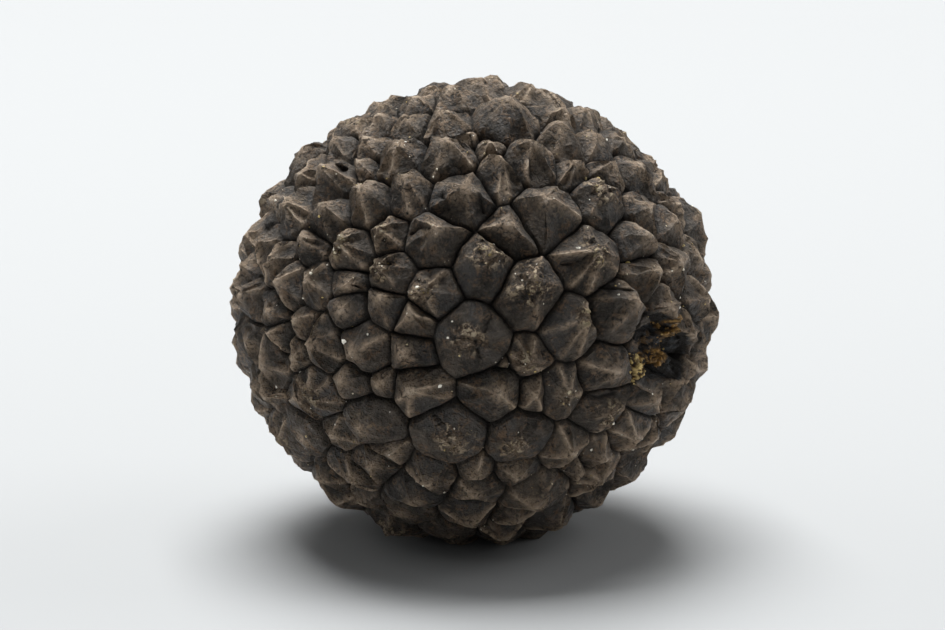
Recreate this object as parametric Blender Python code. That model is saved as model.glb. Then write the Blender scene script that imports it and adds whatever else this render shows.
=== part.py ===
"""Black truffle: one whole fruiting body, free lying.

A near-round tuber of solid flesh whose black rind is broken into touching warts.  Each wart is a
low many-sided pyramid: flat facets meet in crests that climb from its corners to an off-centre
tip, a short steep skirt drops from the foot of the facets, and a narrow groove parts it from the
next wart.  A few warts are worn to level plates, and one on the right of the face is eaten
hollow.  The body stands on the tip of its lowest wart, worn flat.

The rind is laid out as a power diagram on a unit ball.  Every wart has a heading and a half-width;
the convex hull of the headings, each pushed out a little by its half-width, links every wart with
its neighbours, and the normal of each hull face is the corner where three warts meet.

Frame: lengths in metres, +Z up, -Y towards the front, origin in the middle of the flat resting
spot, which lies in the plane Z = 0.
"""

import math

import bmesh
import bpy
import numpy as np
from mathutils import Matrix, Vector

MM = 0.001

# Body under the warts
BODY_SEMI_AXES = Vector((19.5 * MM, 19.1 * MM, 19.2 * MM))
CENTRE_HEIGHT = 19.33 * MM

# Broad swells and hollows of the body: longitude, latitude, spread (degrees), share of the radius
SWELLS = (
    (8, 62, 34, 0.016),
    (-72, 8, 30, 0.014),
    (74, 2, 32, 0.018),
    (-44, 44, 24, -0.016),
    (52, -48, 34, -0.050),
    (-54, -44, 34, -0.048),
    (170, 34, 42, 0.024),
    (128, -24, 34, -0.020),
    (-138, -6, 36, 0.016),
    (-118, 52, 28, -0.018),
)

# Relief of one wart
TIP_RISE = 0.50          # height of the tip over the body, as a share of the wart's half-width
SHOULDER_RISE = 0.30 * MM
SHOULDER_SHARE = 0.85    # how far out from tip to corner the facets end and the skirt begins
GROOVE_DEPTH = 0.20 * MM
CORNER_DEPTH = 0.30 * MM
LEAN_SHARE = 0.26        # most a tip sits off the middle, as a share of the half-width
HEIGHT_SPREAD = (0.78, 1.22)
PLATE_SHARE = 0.14       # share of the warts worn to level plates
PLATE_TIP = 0.46
PLATE_SHOULDER = 1.7
EATEN_RISE = -0.80 * MM
EATEN_SHOULDER = 0.35
FOOT_SNAP = 0.05 * MM    # corners this near the resting plane are worn onto it
SNAP_MARGIN = 0.01

# Layout of the warts that cover the rest of the ball
FILL_SEED = 41
FILL_HALF_WIDTH = (4.0, 5.9, 8.6)   # least, usual and greatest, degrees
FILL_TIGHTNESS = 0.93
FILL_TRIES = 3000
FILL_MISSES = 14
FOOT_HALF_WIDTH = 8.5               # degrees

# The face is tipped back by this much, so its middle looks up a little
FACE_TILT = math.radians(15)

# Warts of the face: longitude, latitude and half-width in degrees about the middle of the face,
# then the longitude and latitude of the tip where it is plain to see
FACE_WARTS = (
    # crown
    (8, 75, 7), (46, 71, 6.5), (-12, 68, 7), (-31, 66, 6),
    (42, 59, 6), (60, 56, 5), (16, 56, 9, 15, 58), (-12, 56, 6.5, -13, 58), (-28, 56, 6),
    (-45, 55, 6), (34, 48, 7, 33, 51), (49, 46, 6, 49, 48), (67, 48, 5), (6, 45, 4.5),
    (-4, 47.5, 4), (-40, 47, 6, -41, 48.5), (-58, 46, 6), (-25, 42.5, 7, -25, 44),
    # brow
    (-8.5, 41.5, 8, -9, 45), (-38.5, 40.5, 5, -39, 41), (-65, 39.5, 6), (-47, 34.5, 8, -50, 37),
    (7.5, 36, 7, 8, 39.5), (19.5, 40.5, 7.5, 19, 44), (32, 38, 5, 33, 40), (47, 38, 5, 47, 39),
    (62, 37, 7, 60, 38), (-3.5, 31, 9, -2, 30), (-18, 32, 7.5, -19.5, 34.5),
    (-30.5, 29, 7, -31, 31), (-42.5, 25, 7, -43, 27), (-58, 27.5, 7, -60, 28), (-73, 29, 5),
    (21.5, 25.5, 9, 19.5, 28), (38, 29, 7.5, 39, 32), (54, 26, 6), (76, 28, 5),
    # cheeks
    (9.5, 20.5, 7, 9, 22), (-10, 19, 8, -9.5, 21), (-22.5, 20.5, 6, -24, 21),
    (-32, 16.5, 6, -35, 17), (-46, 18, 5, -48, 19), (-68.5, 17, 6), (30, 14.5, 9, 31, 14.5),
    (46.5, 18, 6, 49, 18.5), (64.5, 22, 5.5, 65, 23.5), (76, 14, 5), (3, 11.5, 8.5, 4.5, 14.5),
    (-20.5, 10.5, 6, -23.5, 11.5), (-32.5, 8.5, 4), (-43, 7.5, 5, -44.5, 8.5), (-58, 13, 4.5),
    (-52, 7, 6, -54, 8), (-75, 10, 5), (47.5, 10, 6, 50, 10.5), (61.5, 12, 6.5),
    # middle
    (14, 5, 9, 14, 8), (-9, 5.5, 7, -11.5, 5.5), (-22, 2, 5, -22.5, 4), (-31.5, 0.5, 5, -33, 1.5),
    (-57, 1.5, 5), (-72, 4, 6), (38, 0.5, 8, 41, 3), (55, 3, 5.5), (73, 4, 6),
    (24.5, -3, 8, 27.5, -1), (-14, -2, 5.5, -15, 0), (-46.5, -3, 4.5), (69, -4, 6),
    (0, -6, 9.5, -1.5, -6), (14.5, -10.5, 5.5, 13.5, -11.5), (7, -12.5, 3), (-15.5, -9.5, 6, -17, -9),
    (-28, -8.5, 7.5, -30.5, -9.5), (-40, -8, 7, -42.5, -7), (-50, -9, 4), (-56, -5, 4.5),
    (-73, -6, 5), (-62, -12.5, 6, -64, -13),
    # jaw
    (5.5, -20.5, 8, 6.5, -18.5), (16.5, -20.5, 5.5, 16.5, -19.5), (24, -19.5, 6.5, 24.5, -19.5),
    (36, -14, 7, 38, -13.5), (-14, -20, 7.5, -15.5, -18), (-24.5, -17.5, 4.5),
    (-33, -17, 6, -34.5, -15.5), (-45.5, -20, 6.5, -47.5, -20.5), (-55, -22, 5), (-70, -21, 5.5),
    (57, -22, 6), (65, -16, 5.5), (74, -14, 4.5), (38, -25, 7, 40.5, -25), (-7, -32, 9.5, -5.5, -33),
    (14, -33.5, 8.5, 12.5, -34.5), (-29.5, -29, 8.5, -33, -29.5), (-43, -32.5, 4.5), (-28, -37, 6),
    (30, -36.5, 7, 31, -36), (45, -39.5, 6, 46, -39), (55, -31, 6.5), (71, -37, 5.5),
    # underside
    (-14.5, -45, 6.5), (1, -44, 5.5), (15.5, -44.5, 6.5), (41, -44, 5), (-36, -43.5, 6.5),
    (3.5, -50.5, 6), (-28, -51.5, 6), (30.5, -53.5, 8.5),
)
EATEN_WART = (51, -7, 7)
FACE = (EATEN_WART, *FACE_WARTS)
EATEN_NUMBER = 0                       # the eaten wart is laid out first
FACE_PLATES = ((0, -6), (-7, -32), (14, -33.5), (-29.5, -29), (-31.5, 0.5))

RIND_COLOUR = (0.054, 0.047, 0.037, 1.0)
RIND_ROUGHNESS = 0.78


def heading(longitude, latitude):
    """Return the unit vector of a place on the face, in degrees about its middle."""
    around = math.radians(longitude)
    up = math.radians(latitude)
    spot = Vector((math.cos(up) * math.sin(around), -math.cos(up) * math.cos(around), math.sin(up)))
    return Matrix.Rotation(-FACE_TILT, 3, "X") @ spot


def lay_out_warts():
    """Return the headings and the half-widths of all the warts: face, foot, then the rest."""
    placed = [(heading(lon, lat), half) for lon, lat, half, *_ in FACE]
    placed.append((Vector((0, 0, -1)), FOOT_HALF_WIDTH))
    headings = np.array([spot for spot, _ in placed])
    halves = np.radians([half for _, half in placed])
    rng = np.random.default_rng(FILL_SEED)
    misses = 0
    while misses < FILL_MISSES:
        wanted = math.radians(rng.triangular(*FILL_HALF_WIDTH))
        tries = rng.normal(size=(FILL_TRIES, 3))
        tries /= np.linalg.norm(tries, axis=1)[:, None]
        gaps = (np.arccos(np.clip(tries @ headings.T, -1, 1)) - halves).min(axis=1)
        free = gaps >= wanted * FILL_TIGHTNESS
        if not free.any():
            misses += 1
            continue
        chosen = np.where(free, gaps, math.pi).argmin()
        headings = np.vstack([headings, tries[chosen]])
        halves = np.append(halves, wanted)
    return headings, halves


def rind_network(headings, halves):
    """Return a bmesh on the unit ball: every wart a fan of facets from its tip to its corners."""
    net = bmesh.new()
    for spot, half in zip(headings, halves):
        net.verts.new(Vector(spot) * (1 + half * half / 2))
    bmesh.ops.convex_hull(net, input=net.verts)
    bmesh.ops.recalc_face_normals(net, faces=net.faces)
    links = list(net.edges)
    corners = bmesh.ops.poke(net, faces=net.faces)["verts"]
    for corner in corners:
        ring = [edge.other_vert(corner).co for edge in corner.link_edges]
        normal = (ring[1] - ring[0]).cross(ring[2] - ring[0]).normalized()
        corner.co = normal if normal.dot(corner.co) > 0 else -normal
    bmesh.ops.dissolve_edges(net, edges=links, use_verts=False, use_face_split=False)
    bmesh.ops.connect_verts(net, verts=corners)
    for vert in net.verts:
        vert.co.normalize()
    return net


def wart_traits(count):
    """Return each wart's height factor, lean heading and lean share, and which are level plates."""
    rng = np.random.default_rng(FILL_SEED + 1)
    heights = rng.uniform(*HEIGHT_SPREAD, count)
    lean_headings = rng.uniform(0, math.tau, count)
    lean_shares = rng.uniform(0, LEAN_SHARE, count)
    plates = rng.random(count) < PLATE_SHARE
    plates[:len(FACE)] = [(lon, lat) in FACE_PLATES for lon, lat, *_ in FACE]
    return heights, lean_headings, lean_shares, plates


def body_point(spot, rise):
    """Return the point of the body along a heading, raised by the given height."""
    swell = 1.0
    for lon, lat, spread, share in SWELLS:
        apart = spot.angle(heading(lon, lat)) / math.radians(spread)
        swell += share * math.exp(-apart * apart)
    stretched = Vector(axis * part for axis, part in zip(BODY_SEMI_AXES, spot))
    return stretched * swell + spot * rise + Vector((0, 0, CENTRE_HEIGHT))


def wart_rises(halves):
    """Return the height of each wart's tip and of its shoulder over the body."""
    heights, _, _, plates = wart_traits(len(halves))
    mean_radius = sum(BODY_SEMI_AXES) / len(BODY_SEMI_AXES)
    tips = TIP_RISE * halves * mean_radius * heights * np.where(plates, PLATE_TIP, 1) + SHOULDER_RISE
    shoulders = SHOULDER_RISE * np.where(plates, PLATE_SHOULDER, 1)
    tips[EATEN_NUMBER] = EATEN_RISE
    shoulders[EATEN_NUMBER] *= EATEN_SHOULDER
    return tips, shoulders


def lean_tips(net, halves):
    """Move each tip to where it is seen, or else a little off the middle of its wart."""
    _, lean_headings, lean_shares, _ = wart_traits(len(halves))
    seen = {number: wart[3:] for number, wart in enumerate(FACE) if len(wart) > 3}
    net.verts.ensure_lookup_table()
    for number, half in enumerate(halves):
        tip = net.verts[number]
        if number in seen:
            tip.co = heading(*seen[number])
            continue
        middle = sum((edge.other_vert(tip).co for edge in tip.link_edges), Vector()).normalized()
        sideways = middle.orthogonal().normalized()
        sideways.rotate(Matrix.Rotation(lean_headings[number], 3, middle))
        tip.co = (middle + sideways * half * lean_shares[number]).normalized()


def index_of(vert):
    """Return a vertex's place in its mesh."""
    return vert.index


def raise_warts(net, halves):
    """Cut every facet at its shoulder and lift the network into tips, shoulders and grooves.

    The vertices stay in order: first the tips, then the corners, then the cuts between them.
    """
    tip_rises, shoulder_rises = wart_rises(halves)
    tip_count = len(halves)
    laid_count = len(net.verts)
    bmesh.ops.subdivide_edges(net, edges=net.edges, cuts=1, use_grid_fill=True)
    net.verts.index_update()
    places = []
    for vert in net.verts:
        if vert.index < tip_count:
            places.append((vert.co.copy(), tip_rises[vert.index]))
        elif vert.index < laid_count:
            places.append((vert.co.copy(), -CORNER_DEPTH))
        else:
            linked = (edge.other_vert(vert) for edge in vert.link_edges)
            start, end = sorted((other for other in linked if other.index < laid_count), key=index_of)
            if start.index < tip_count:
                spot = start.co.lerp(end.co, SHOULDER_SHARE)
                places.append((spot.normalized(), shoulder_rises[start.index]))
            else:
                places.append(((start.co + end.co).normalized(), -GROOVE_DEPTH))
    for vert, (spot, rise) in zip(net.verts, places):
        vert.co = body_point(spot, rise)


def level_foot(net):
    """Wear the lowest warts level with the resting plane and close the cut."""
    for vert in net.verts:
        if abs(vert.co.z) < FOOT_SNAP:
            vert.co.z = 0
    bmesh.ops.bisect_plane(
        net,
        geom=[*net.verts, *net.edges, *net.faces],
        dist=FOOT_SNAP * SNAP_MARGIN,
        plane_co=Vector(),
        plane_no=Vector((0, 0, -1)),
        clear_outer=True,
    )
    bmesh.ops.holes_fill(net, edges=[edge for edge in net.edges if edge.is_boundary], sides=0)
    bmesh.ops.triangulate(net, faces=net.faces)
    bmesh.ops.recalc_face_normals(net, faces=net.faces)


def rind_material():
    """Return the dark grey-brown rind."""
    material = bpy.data.materials.new("truffle_rind")
    material.use_nodes = True
    surface = material.node_tree.nodes["Principled BSDF"]
    surface.inputs["Base Color"].default_value = RIND_COLOUR
    surface.inputs["Roughness"].default_value = RIND_ROUGHNESS
    surface.inputs["Metallic"].default_value = 0.0
    material.diffuse_color = RIND_COLOUR
    return material


def build_truffle(collection):
    """Model the truffle as one closed solid and link it into the collection."""
    headings, halves = lay_out_warts()
    net = rind_network(headings, halves)
    lean_tips(net, halves)
    raise_warts(net, halves)
    level_foot(net)
    mesh = bpy.data.meshes.new("truffle")
    net.to_mesh(mesh)
    net.free()
    mesh.materials.append(rind_material())
    collection.objects.link(bpy.data.objects.new("truffle", mesh))


def main():
    """Clear the file and build the black truffle."""
    for thing in list(bpy.data.objects):
        bpy.data.objects.remove(thing)
    collection = bpy.data.collections.new("black_truffle")
    bpy.context.scene.collection.children.link(collection)
    build_truffle(collection)


main()
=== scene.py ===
"""Black truffle: the looks of one whole fruiting body standing on a pale studio floor.

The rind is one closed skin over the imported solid.  Its warts are laid out as in the solid: every
wart has a heading and a half-width, the convex hull of the headings links neighbours, and the
normal of each hull face is the corner where three warts meet.  Each wart is then a fan of facets
from its tip to its corners, cut fine enough to carry the facets' hollows, the crests between them,
the skirts and the narrow grooves.  Soil grains caught in the rind and the crumbs left in the eaten
wart are pieces of their own.

Frame: lengths in metres, +Z up, -Y towards the front, origin in the middle of the resting spot.
"""

import logging
import math
from dataclasses import dataclass
from enum import Enum
from functools import partial, reduce
from typing import ClassVar

import bmesh
import bpy
import numpy as np
from mathutils import Matrix, Vector, noise


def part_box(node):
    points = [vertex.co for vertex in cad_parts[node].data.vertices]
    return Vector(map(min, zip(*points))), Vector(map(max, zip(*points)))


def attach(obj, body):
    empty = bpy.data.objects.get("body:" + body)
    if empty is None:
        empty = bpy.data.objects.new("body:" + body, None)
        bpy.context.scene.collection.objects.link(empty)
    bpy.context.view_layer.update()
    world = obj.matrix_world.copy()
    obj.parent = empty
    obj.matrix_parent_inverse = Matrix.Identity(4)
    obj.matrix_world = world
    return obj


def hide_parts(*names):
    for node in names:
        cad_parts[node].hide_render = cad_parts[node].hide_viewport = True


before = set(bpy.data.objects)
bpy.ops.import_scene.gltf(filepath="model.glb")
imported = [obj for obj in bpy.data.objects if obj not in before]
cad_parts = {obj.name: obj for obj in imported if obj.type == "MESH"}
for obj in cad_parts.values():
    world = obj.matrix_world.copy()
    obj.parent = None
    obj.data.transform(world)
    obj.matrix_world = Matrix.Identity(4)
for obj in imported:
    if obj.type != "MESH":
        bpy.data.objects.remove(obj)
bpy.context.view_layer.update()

MM = 0.001
LOG = logging.getLogger("black_truffle")
Colour = tuple[float, float, float, float]
Socket = bpy.types.NodeSocket

# The face is tipped back by this much, so its middle looks up a little
FACE_TILT = math.radians(15)
TILT = Matrix.Rotation(-FACE_TILT, 3, "X")

# Warts of the face: longitude, latitude and half-width in degrees about the middle of the face,
# then the longitude and latitude of the tip where it is plain to see
FACE_WARTS = (
    # crown
    (8, 75, 7), (46, 71, 6.5), (-12, 68, 7), (-31, 66, 6),
    (42, 59, 6), (60, 56, 5), (16, 56, 9, 15, 58), (-12, 56, 6.5, -13, 58), (-28, 56, 6),
    (-45, 55, 6), (34, 48, 7, 33, 51), (49, 46, 6, 49, 48), (67, 48, 5), (6, 45, 4.5),
    (-4, 47.5, 4), (-40, 47, 6, -41, 48.5), (-58, 46, 6), (-25, 42.5, 7, -25, 44),
    # brow
    (-8.5, 41.5, 8, -9, 45), (-38.5, 40.5, 5, -39, 41), (-65, 39.5, 6), (-47, 34.5, 8, -50, 37),
    (7.5, 36, 7, 8, 39.5), (19.5, 40.5, 7.5, 19, 44), (32, 38, 5, 33, 40), (47, 38, 5, 47, 39),
    (62, 37, 7, 60, 38), (-3.5, 31, 9, -2, 30), (-18, 32, 7.5, -19.5, 34.5),
    (-30.5, 29, 7, -31, 31), (-42.5, 25, 7, -43, 27), (-58, 27.5, 7, -60, 28), (-73, 29, 5),
    (21.5, 25.5, 9, 19.5, 28), (38, 29, 7.5, 39, 32), (54, 26, 6), (76, 28, 5),
    # cheeks
    (9.5, 20.5, 7, 9, 22), (-10, 19, 8, -9.5, 21), (-22.5, 20.5, 6, -24, 21),
    (-32, 16.5, 6, -35, 17), (-46, 18, 5, -48, 19), (-68.5, 17, 6), (30, 14.5, 9, 31, 14.5),
    (46.5, 18, 6, 49, 18.5), (64.5, 22, 5.5, 65, 23.5), (76, 14, 5), (3, 11.5, 8.5, 4.5, 14.5),
    (-20.5, 10.5, 6, -23.5, 11.5), (-32.5, 8.5, 4), (-43, 7.5, 5, -44.5, 8.5), (-58, 13, 4.5),
    (-52, 7, 6, -54, 8), (-75, 10, 5), (47.5, 10, 6, 50, 10.5), (61.5, 12, 6.5),
    # middle
    (14, 5, 9, 14, 8), (-9, 5.5, 7, -11.5, 5.5), (-22, 2, 5, -22.5, 4), (-31.5, 0.5, 5, -33, 1.5),
    (-57, 1.5, 5), (-72, 4, 6), (38, 0.5, 8, 41, 3), (55, 3, 5.5), (73, 4, 6),
    (24.5, -3, 8, 27.5, -1), (-14, -2, 5.5, -15, 0), (-46.5, -3, 4.5), (69, -4, 6),
    (0, -6, 9.5, -1.5, -6), (14.5, -10.5, 5.5, 13.5, -11.5), (7, -12.5, 3), (-15.5, -9.5, 6, -17, -9),
    (-28, -8.5, 7.5, -30.5, -9.5), (-40, -8, 7, -42.5, -7), (-50, -9, 4), (-56, -5, 4.5),
    (-73, -6, 5), (-62, -12.5, 6, -64, -13),
    # jaw
    (5.5, -20.5, 8, 6.5, -18.5), (16.5, -20.5, 5.5, 16.5, -19.5), (24, -19.5, 6.5, 24.5, -19.5),
    (36, -14, 7, 38, -13.5), (-14, -20, 7.5, -15.5, -18), (-24.5, -17.5, 4.5),
    (-33, -17, 6, -34.5, -15.5), (-45.5, -20, 6.5, -47.5, -20.5), (-55, -22, 5), (-70, -21, 5.5),
    (57, -22, 6), (65, -16, 5.5), (74, -14, 4.5), (38, -25, 7, 40.5, -25), (-7, -32, 9.5, -5.5, -33),
    (14, -33.5, 8.5, 12.5, -34.5), (-29.5, -29, 8.5, -33, -29.5), (-43, -32.5, 4.5), (-28, -37, 6),
    (30, -36.5, 7, 31, -36), (45, -39.5, 6, 46, -39), (55, -31, 6.5), (71, -37, 5.5),
    # underside
    (-14.5, -45, 6.5), (1, -44, 5.5), (15.5, -44.5, 6.5), (41, -44, 5), (-36, -43.5, 6.5),
    (3.5, -50.5, 6), (-28, -51.5, 6), (30.5, -53.5, 8.5),
)
EATEN_WART = (51, -7, 7)
FACE = (EATEN_WART, *FACE_WARTS)
EATEN_NUMBER = 0                       # the eaten wart is laid out first
FACE_PLATES = ((0, -6), (-7, -32), (14, -33.5), (-29.5, -29), (-31.5, 0.5))


@dataclass(frozen=True)
class Profile:
    """How the top of one kind of wart is shaped.

    A dome's facets bulge, a ridge stays high to both sides of the tip, and the crests between the
    facets stand up or are worn down within a range in metres.
    """

    dome: float
    ridge: float
    crest: tuple[float, float]


class Kind(Enum):
    """What a wart's top is like."""

    PYRAMID = Profile(0.02, 0.10, (-0.05 * MM, 0.10 * MM))
    DOME = Profile(0.30, 0.10, (-0.11 * MM, 0.03 * MM))
    WEDGE = Profile(0.06, 0.85, (-0.06 * MM, 0.06 * MM))
    PLATE = Profile(0.80, 0.30, (-0.15 * MM, -0.04 * MM))


# Wedges that are plain to see on the face, with the place that each ridge runs to
FACE_WEDGES = {
    (-3.5, 31): (-11, 31), (21.5, 25.5): (29, 24), (9.5, 20.5): (16, 17.5), (30, 14.5): (22, 15.5),
    (-9, 5.5): (-1, 4), (-22, 2): (-22, -2), (38, 0.5): (42, 8), (24.5, -3): (30, -7),
    (24, -19.5): (24, -25), (36, -14): (38, -9), (38, -25): (45, -19), (46.5, 18): (45, 22),
    (47.5, 10): (50, 5), (55, 3): (56, 8), (61.5, 12): (63, 18), (69, -4): (69, 2),
    (73, 4): (74, 9), (65, -16): (66, -10), (57, -22): (58, -16), (-58, 13): (-53, 17),
    (-46, 18): (-46, 13), (-43, 7.5): (-43, 3), (-40, -8): (-41, -13), (-45.5, -20): (-43, -24),
    (-46.5, -3): (-49, -6),
}
FACE_DOMES = (
    (-10, 19), (3, 11.5), (-20.5, 10.5), (14, 5), (-15.5, -9.5), (-28, -8.5), (5.5, -20.5), (38, 29),
    (16, 56), (-8.5, 41.5), (34, 48), (-33, -17),
)
FACE_PYRAMIDS = ((-14, -2), (14.5, -10.5), (-14, -20))
FACE_KINDS = {
    **{place: (Kind.WEDGE, towards) for place, towards in FACE_WEDGES.items()},
    **dict.fromkeys(FACE_DOMES, (Kind.DOME, None)),
    **dict.fromkeys(FACE_PYRAMIDS, (Kind.PYRAMID, None)),
}

# Warts of the face with a broken, crusted tip
FACE_SCARS = (
    (3, 11.5), (14, 5), (30, 14.5), (24.5, -3), (-20.5, 10.5), (-32, 16.5), (-22.5, 20.5), (38, 29),
    (24, -19.5), (38, -25), (-45.5, -20), (0, -6), (14.5, -10.5), (-9, 5.5), (-7, -32), (14, -33.5),
)


def heading(longitude: float, latitude: float) -> Vector:
    """Give the unit vector of a place on the face.

    Args:
        longitude: Degrees to the right of the middle of the face.
        latitude: Degrees above it.

    Returns:
        The heading in the frame of the solid.
    """
    around = math.radians(longitude)
    up = math.radians(latitude)
    return TILT @ Vector((math.cos(up) * math.sin(around), -math.cos(up) * math.cos(around), math.sin(up)))


def unit(rows: np.ndarray) -> np.ndarray:
    """Return the rows scaled to length one."""
    return rows / np.linalg.norm(rows, axis=1)[:, None]


def dot(first: np.ndarray, second: np.ndarray) -> np.ndarray:
    """Return the dot product of each pair of rows."""
    return np.einsum("ij,ij->i", first, second)


def smooth(values: np.ndarray, low: float, high: float) -> np.ndarray:
    """Ramp from 0 at low to 1 at high with level ends.

    Args:
        values: The values to ramp.
        low: Where the ramp starts.
        high: Where it ends.

    Returns:
        The ramped values.
    """
    share = np.clip((values - low) / (high - low), 0, 1)
    return share * share * (3 - 2 * share)


def ripple(places: np.ndarray, size: float, octaves: int) -> np.ndarray:
    """Sample smooth solid noise.

    Args:
        places: Points, in the same unit as size.
        size: Width of the largest swell.
        octaves: How many times the swell is halved and added.

    Returns:
        One value from about -1 to 1 for each point.
    """
    scaled = places / size
    return np.fromiter((noise.fractal(row, 1.0, 2.0, octaves) for row in scaled), float, len(scaled))


def read(items: bpy.types.bpy_prop_collection, field: str, width: int = 1, kind: type = float) -> np.ndarray:
    """Read one field of every item of a mesh.

    Args:
        items: The items.
        field: The name of the field.
        width: How many numbers each item has.
        kind: The type of the numbers.

    Returns:
        All the numbers in one row.
    """
    values = np.empty(len(items) * width, kind)
    items.foreach_get(field, values)
    return values


def mesh_of(name: str, net: bmesh.types.BMesh) -> bpy.types.Mesh:
    """Turn a net into a mesh.

    Args:
        name: The mesh's name.
        net: The net, which is freed.

    Returns:
        The mesh.
    """
    mesh = bpy.data.meshes.new(name)
    net.to_mesh(mesh)
    net.free()
    return mesh


def stand(name: str, data: bpy.types.ID) -> bpy.types.Object:
    """Stand something in the scene.

    Args:
        name: The object's name.
        data: Its mesh, light or camera.

    Returns:
        The object.
    """
    made = bpy.data.objects.new(name, data)
    bpy.context.scene.collection.objects.link(made)
    return made


@dataclass(frozen=True)
class Layout:
    """Where the warts sit on the unit ball."""

    seed: int = 41
    half_width: tuple[float, float, float] = (4.0, 5.9, 8.6)
    tightness: float = 0.93
    tries: int = 3000
    misses: int = 14
    foot_half_width: float = 8.5
    lean_share: float = 0.26
    height_spread: tuple[float, float] = (0.78, 1.22)
    plate_share: float = 0.14

    def place(self) -> tuple[np.ndarray, np.ndarray]:
        """Place the warts of the face, the foot and then the rest, each touching the last.

        Returns:
            The headings and the half-widths in radians.
        """
        placed = [(heading(lon, lat), half) for lon, lat, half, *_ in FACE]
        placed.append((Vector((0, 0, -1)), self.foot_half_width))
        headings = np.array([spot for spot, _ in placed])
        halves = np.radians([half for _, half in placed])
        rng = np.random.default_rng(self.seed)
        misses = 0
        while misses < self.misses:
            wanted = math.radians(rng.triangular(*self.half_width))
            tries = unit(rng.normal(size=(self.tries, 3)))
            gaps = (np.arccos(np.clip(tries @ headings.T, -1, 1)) - halves).min(axis=1)
            free = gaps >= wanted * self.tightness
            if not free.any():
                misses += 1
                continue
            chosen = np.where(free, gaps, math.pi).argmin()
            headings = np.vstack([headings, tries[chosen]])
            halves = np.append(halves, wanted)
        return headings, halves

    def traits(self, count: int) -> tuple[np.ndarray, np.ndarray, np.ndarray, np.ndarray]:
        """Draw each wart's traits in the order of the solid.

        Args:
            count: How many warts there are.

        Returns:
            Height factors, lean headings, lean shares and which warts are level plates.
        """
        rng = np.random.default_rng(self.seed + 1)
        heights = rng.uniform(*self.height_spread, count)
        lean_headings = rng.uniform(0, math.tau, count)
        lean_shares = rng.uniform(0, self.lean_share, count)
        plates = rng.random(count) < self.plate_share
        plates[:len(FACE)] = [(lon, lat) in FACE_PLATES for lon, lat, *_ in FACE]
        return heights, lean_headings, lean_shares, plates

    def network(self, headings: np.ndarray, halves: np.ndarray) -> bmesh.types.BMesh:
        """Link the warts on the unit ball; wider warts are lifted, which widens their share of it.

        Args:
            headings: One unit vector for each wart.
            halves: The half-widths in radians.

        Returns:
            A mesh of facets: first the tips in the order of the warts, then the corners.
        """
        net = bmesh.new()
        for spot, half in zip(headings, halves):
            net.verts.new(Vector(spot) * (1 + half * half / 2))
        bmesh.ops.convex_hull(net, input=net.verts)
        bmesh.ops.recalc_face_normals(net, faces=net.faces)
        links = list(net.edges)
        corners = bmesh.ops.poke(net, faces=net.faces)["verts"]
        for corner in corners:
            ring = [edge.other_vert(corner).co for edge in corner.link_edges]
            normal = (ring[1] - ring[0]).cross(ring[2] - ring[0]).normalized()
            corner.co = normal if normal.dot(corner.co) > 0 else -normal
        bmesh.ops.dissolve_edges(net, edges=links, use_verts=False, use_face_split=False)
        bmesh.ops.connect_verts(net, verts=corners)
        for vert in net.verts:
            vert.co.normalize()
        self._lean(net, halves)
        return net

    def _lean(self, net: bmesh.types.BMesh, halves: np.ndarray) -> None:
        """Move each tip to where it is seen, or else a little off the middle of its wart.

        Args:
            net: The network on the unit ball.
            halves: The half-widths in radians.
        """
        _, lean_headings, lean_shares, _ = self.traits(len(halves))
        seen = {number: wart[3:] for number, wart in enumerate(FACE) if len(wart) > 3}
        net.verts.ensure_lookup_table()
        for number, half in enumerate(halves):
            tip = net.verts[number]
            if number in seen:
                tip.co = heading(*seen[number])
                continue
            middle = sum((edge.other_vert(tip).co for edge in tip.link_edges), Vector()).normalized()
            sideways = middle.orthogonal().normalized()
            sideways.rotate(Matrix.Rotation(lean_headings[number], 3, middle))
            tip.co = (middle + sideways * half * lean_shares[number]).normalized()


@dataclass(frozen=True)
class Body:
    """The lumpy ball under the warts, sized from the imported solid.

    Each swell has a longitude, a latitude, a spread in degrees and a share of the radius.
    """

    low: Vector
    high: Vector
    axis_shares: tuple[float, float, float] = (0.9275, 0.9360, 0.9552)
    centre_share: float = 0.4808
    swells: tuple[tuple[float, float, float, float], ...] = (
        (8, 62, 34, 0.016),
        (-72, 8, 30, 0.014),
        (74, 2, 32, 0.018),
        (-44, 44, 24, -0.016),
        (52, -48, 34, -0.050),
        (-54, -44, 34, -0.048),
        (170, 34, 42, 0.024),
        (128, -24, 34, -0.020),
        (-138, -6, 36, 0.016),
        (-118, 52, 28, -0.018),
    )

    @property
    def semi_axes(self) -> np.ndarray:
        """Half the body's width, depth and height."""
        return np.array((self.high - self.low) / 2) * np.array(self.axis_shares)

    @property
    def radius(self) -> float:
        """The body's mean radius."""
        return float(self.semi_axes.mean())

    @property
    def centre(self) -> np.ndarray:
        """The middle of the body, over the resting spot."""
        return np.array((0.0, 0.0, (self.high - self.low).z * self.centre_share))

    def surface(self, directions: np.ndarray, rises: np.ndarray) -> np.ndarray:
        """Give points over the body.

        Args:
            directions: Unit vectors from the centre.
            rises: Heights over the body along them.

        Returns:
            The points.
        """
        swell = np.ones(len(directions))
        for lon, lat, spread, share in self.swells:
            apart = np.arccos(np.clip(directions @ np.array(heading(lon, lat)), -1, 1))
            swell += share * np.exp(-((apart / math.radians(spread)) ** 2))
        return directions * self.semi_axes * swell[:, None] + directions * rises[:, None] + self.centre


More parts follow.
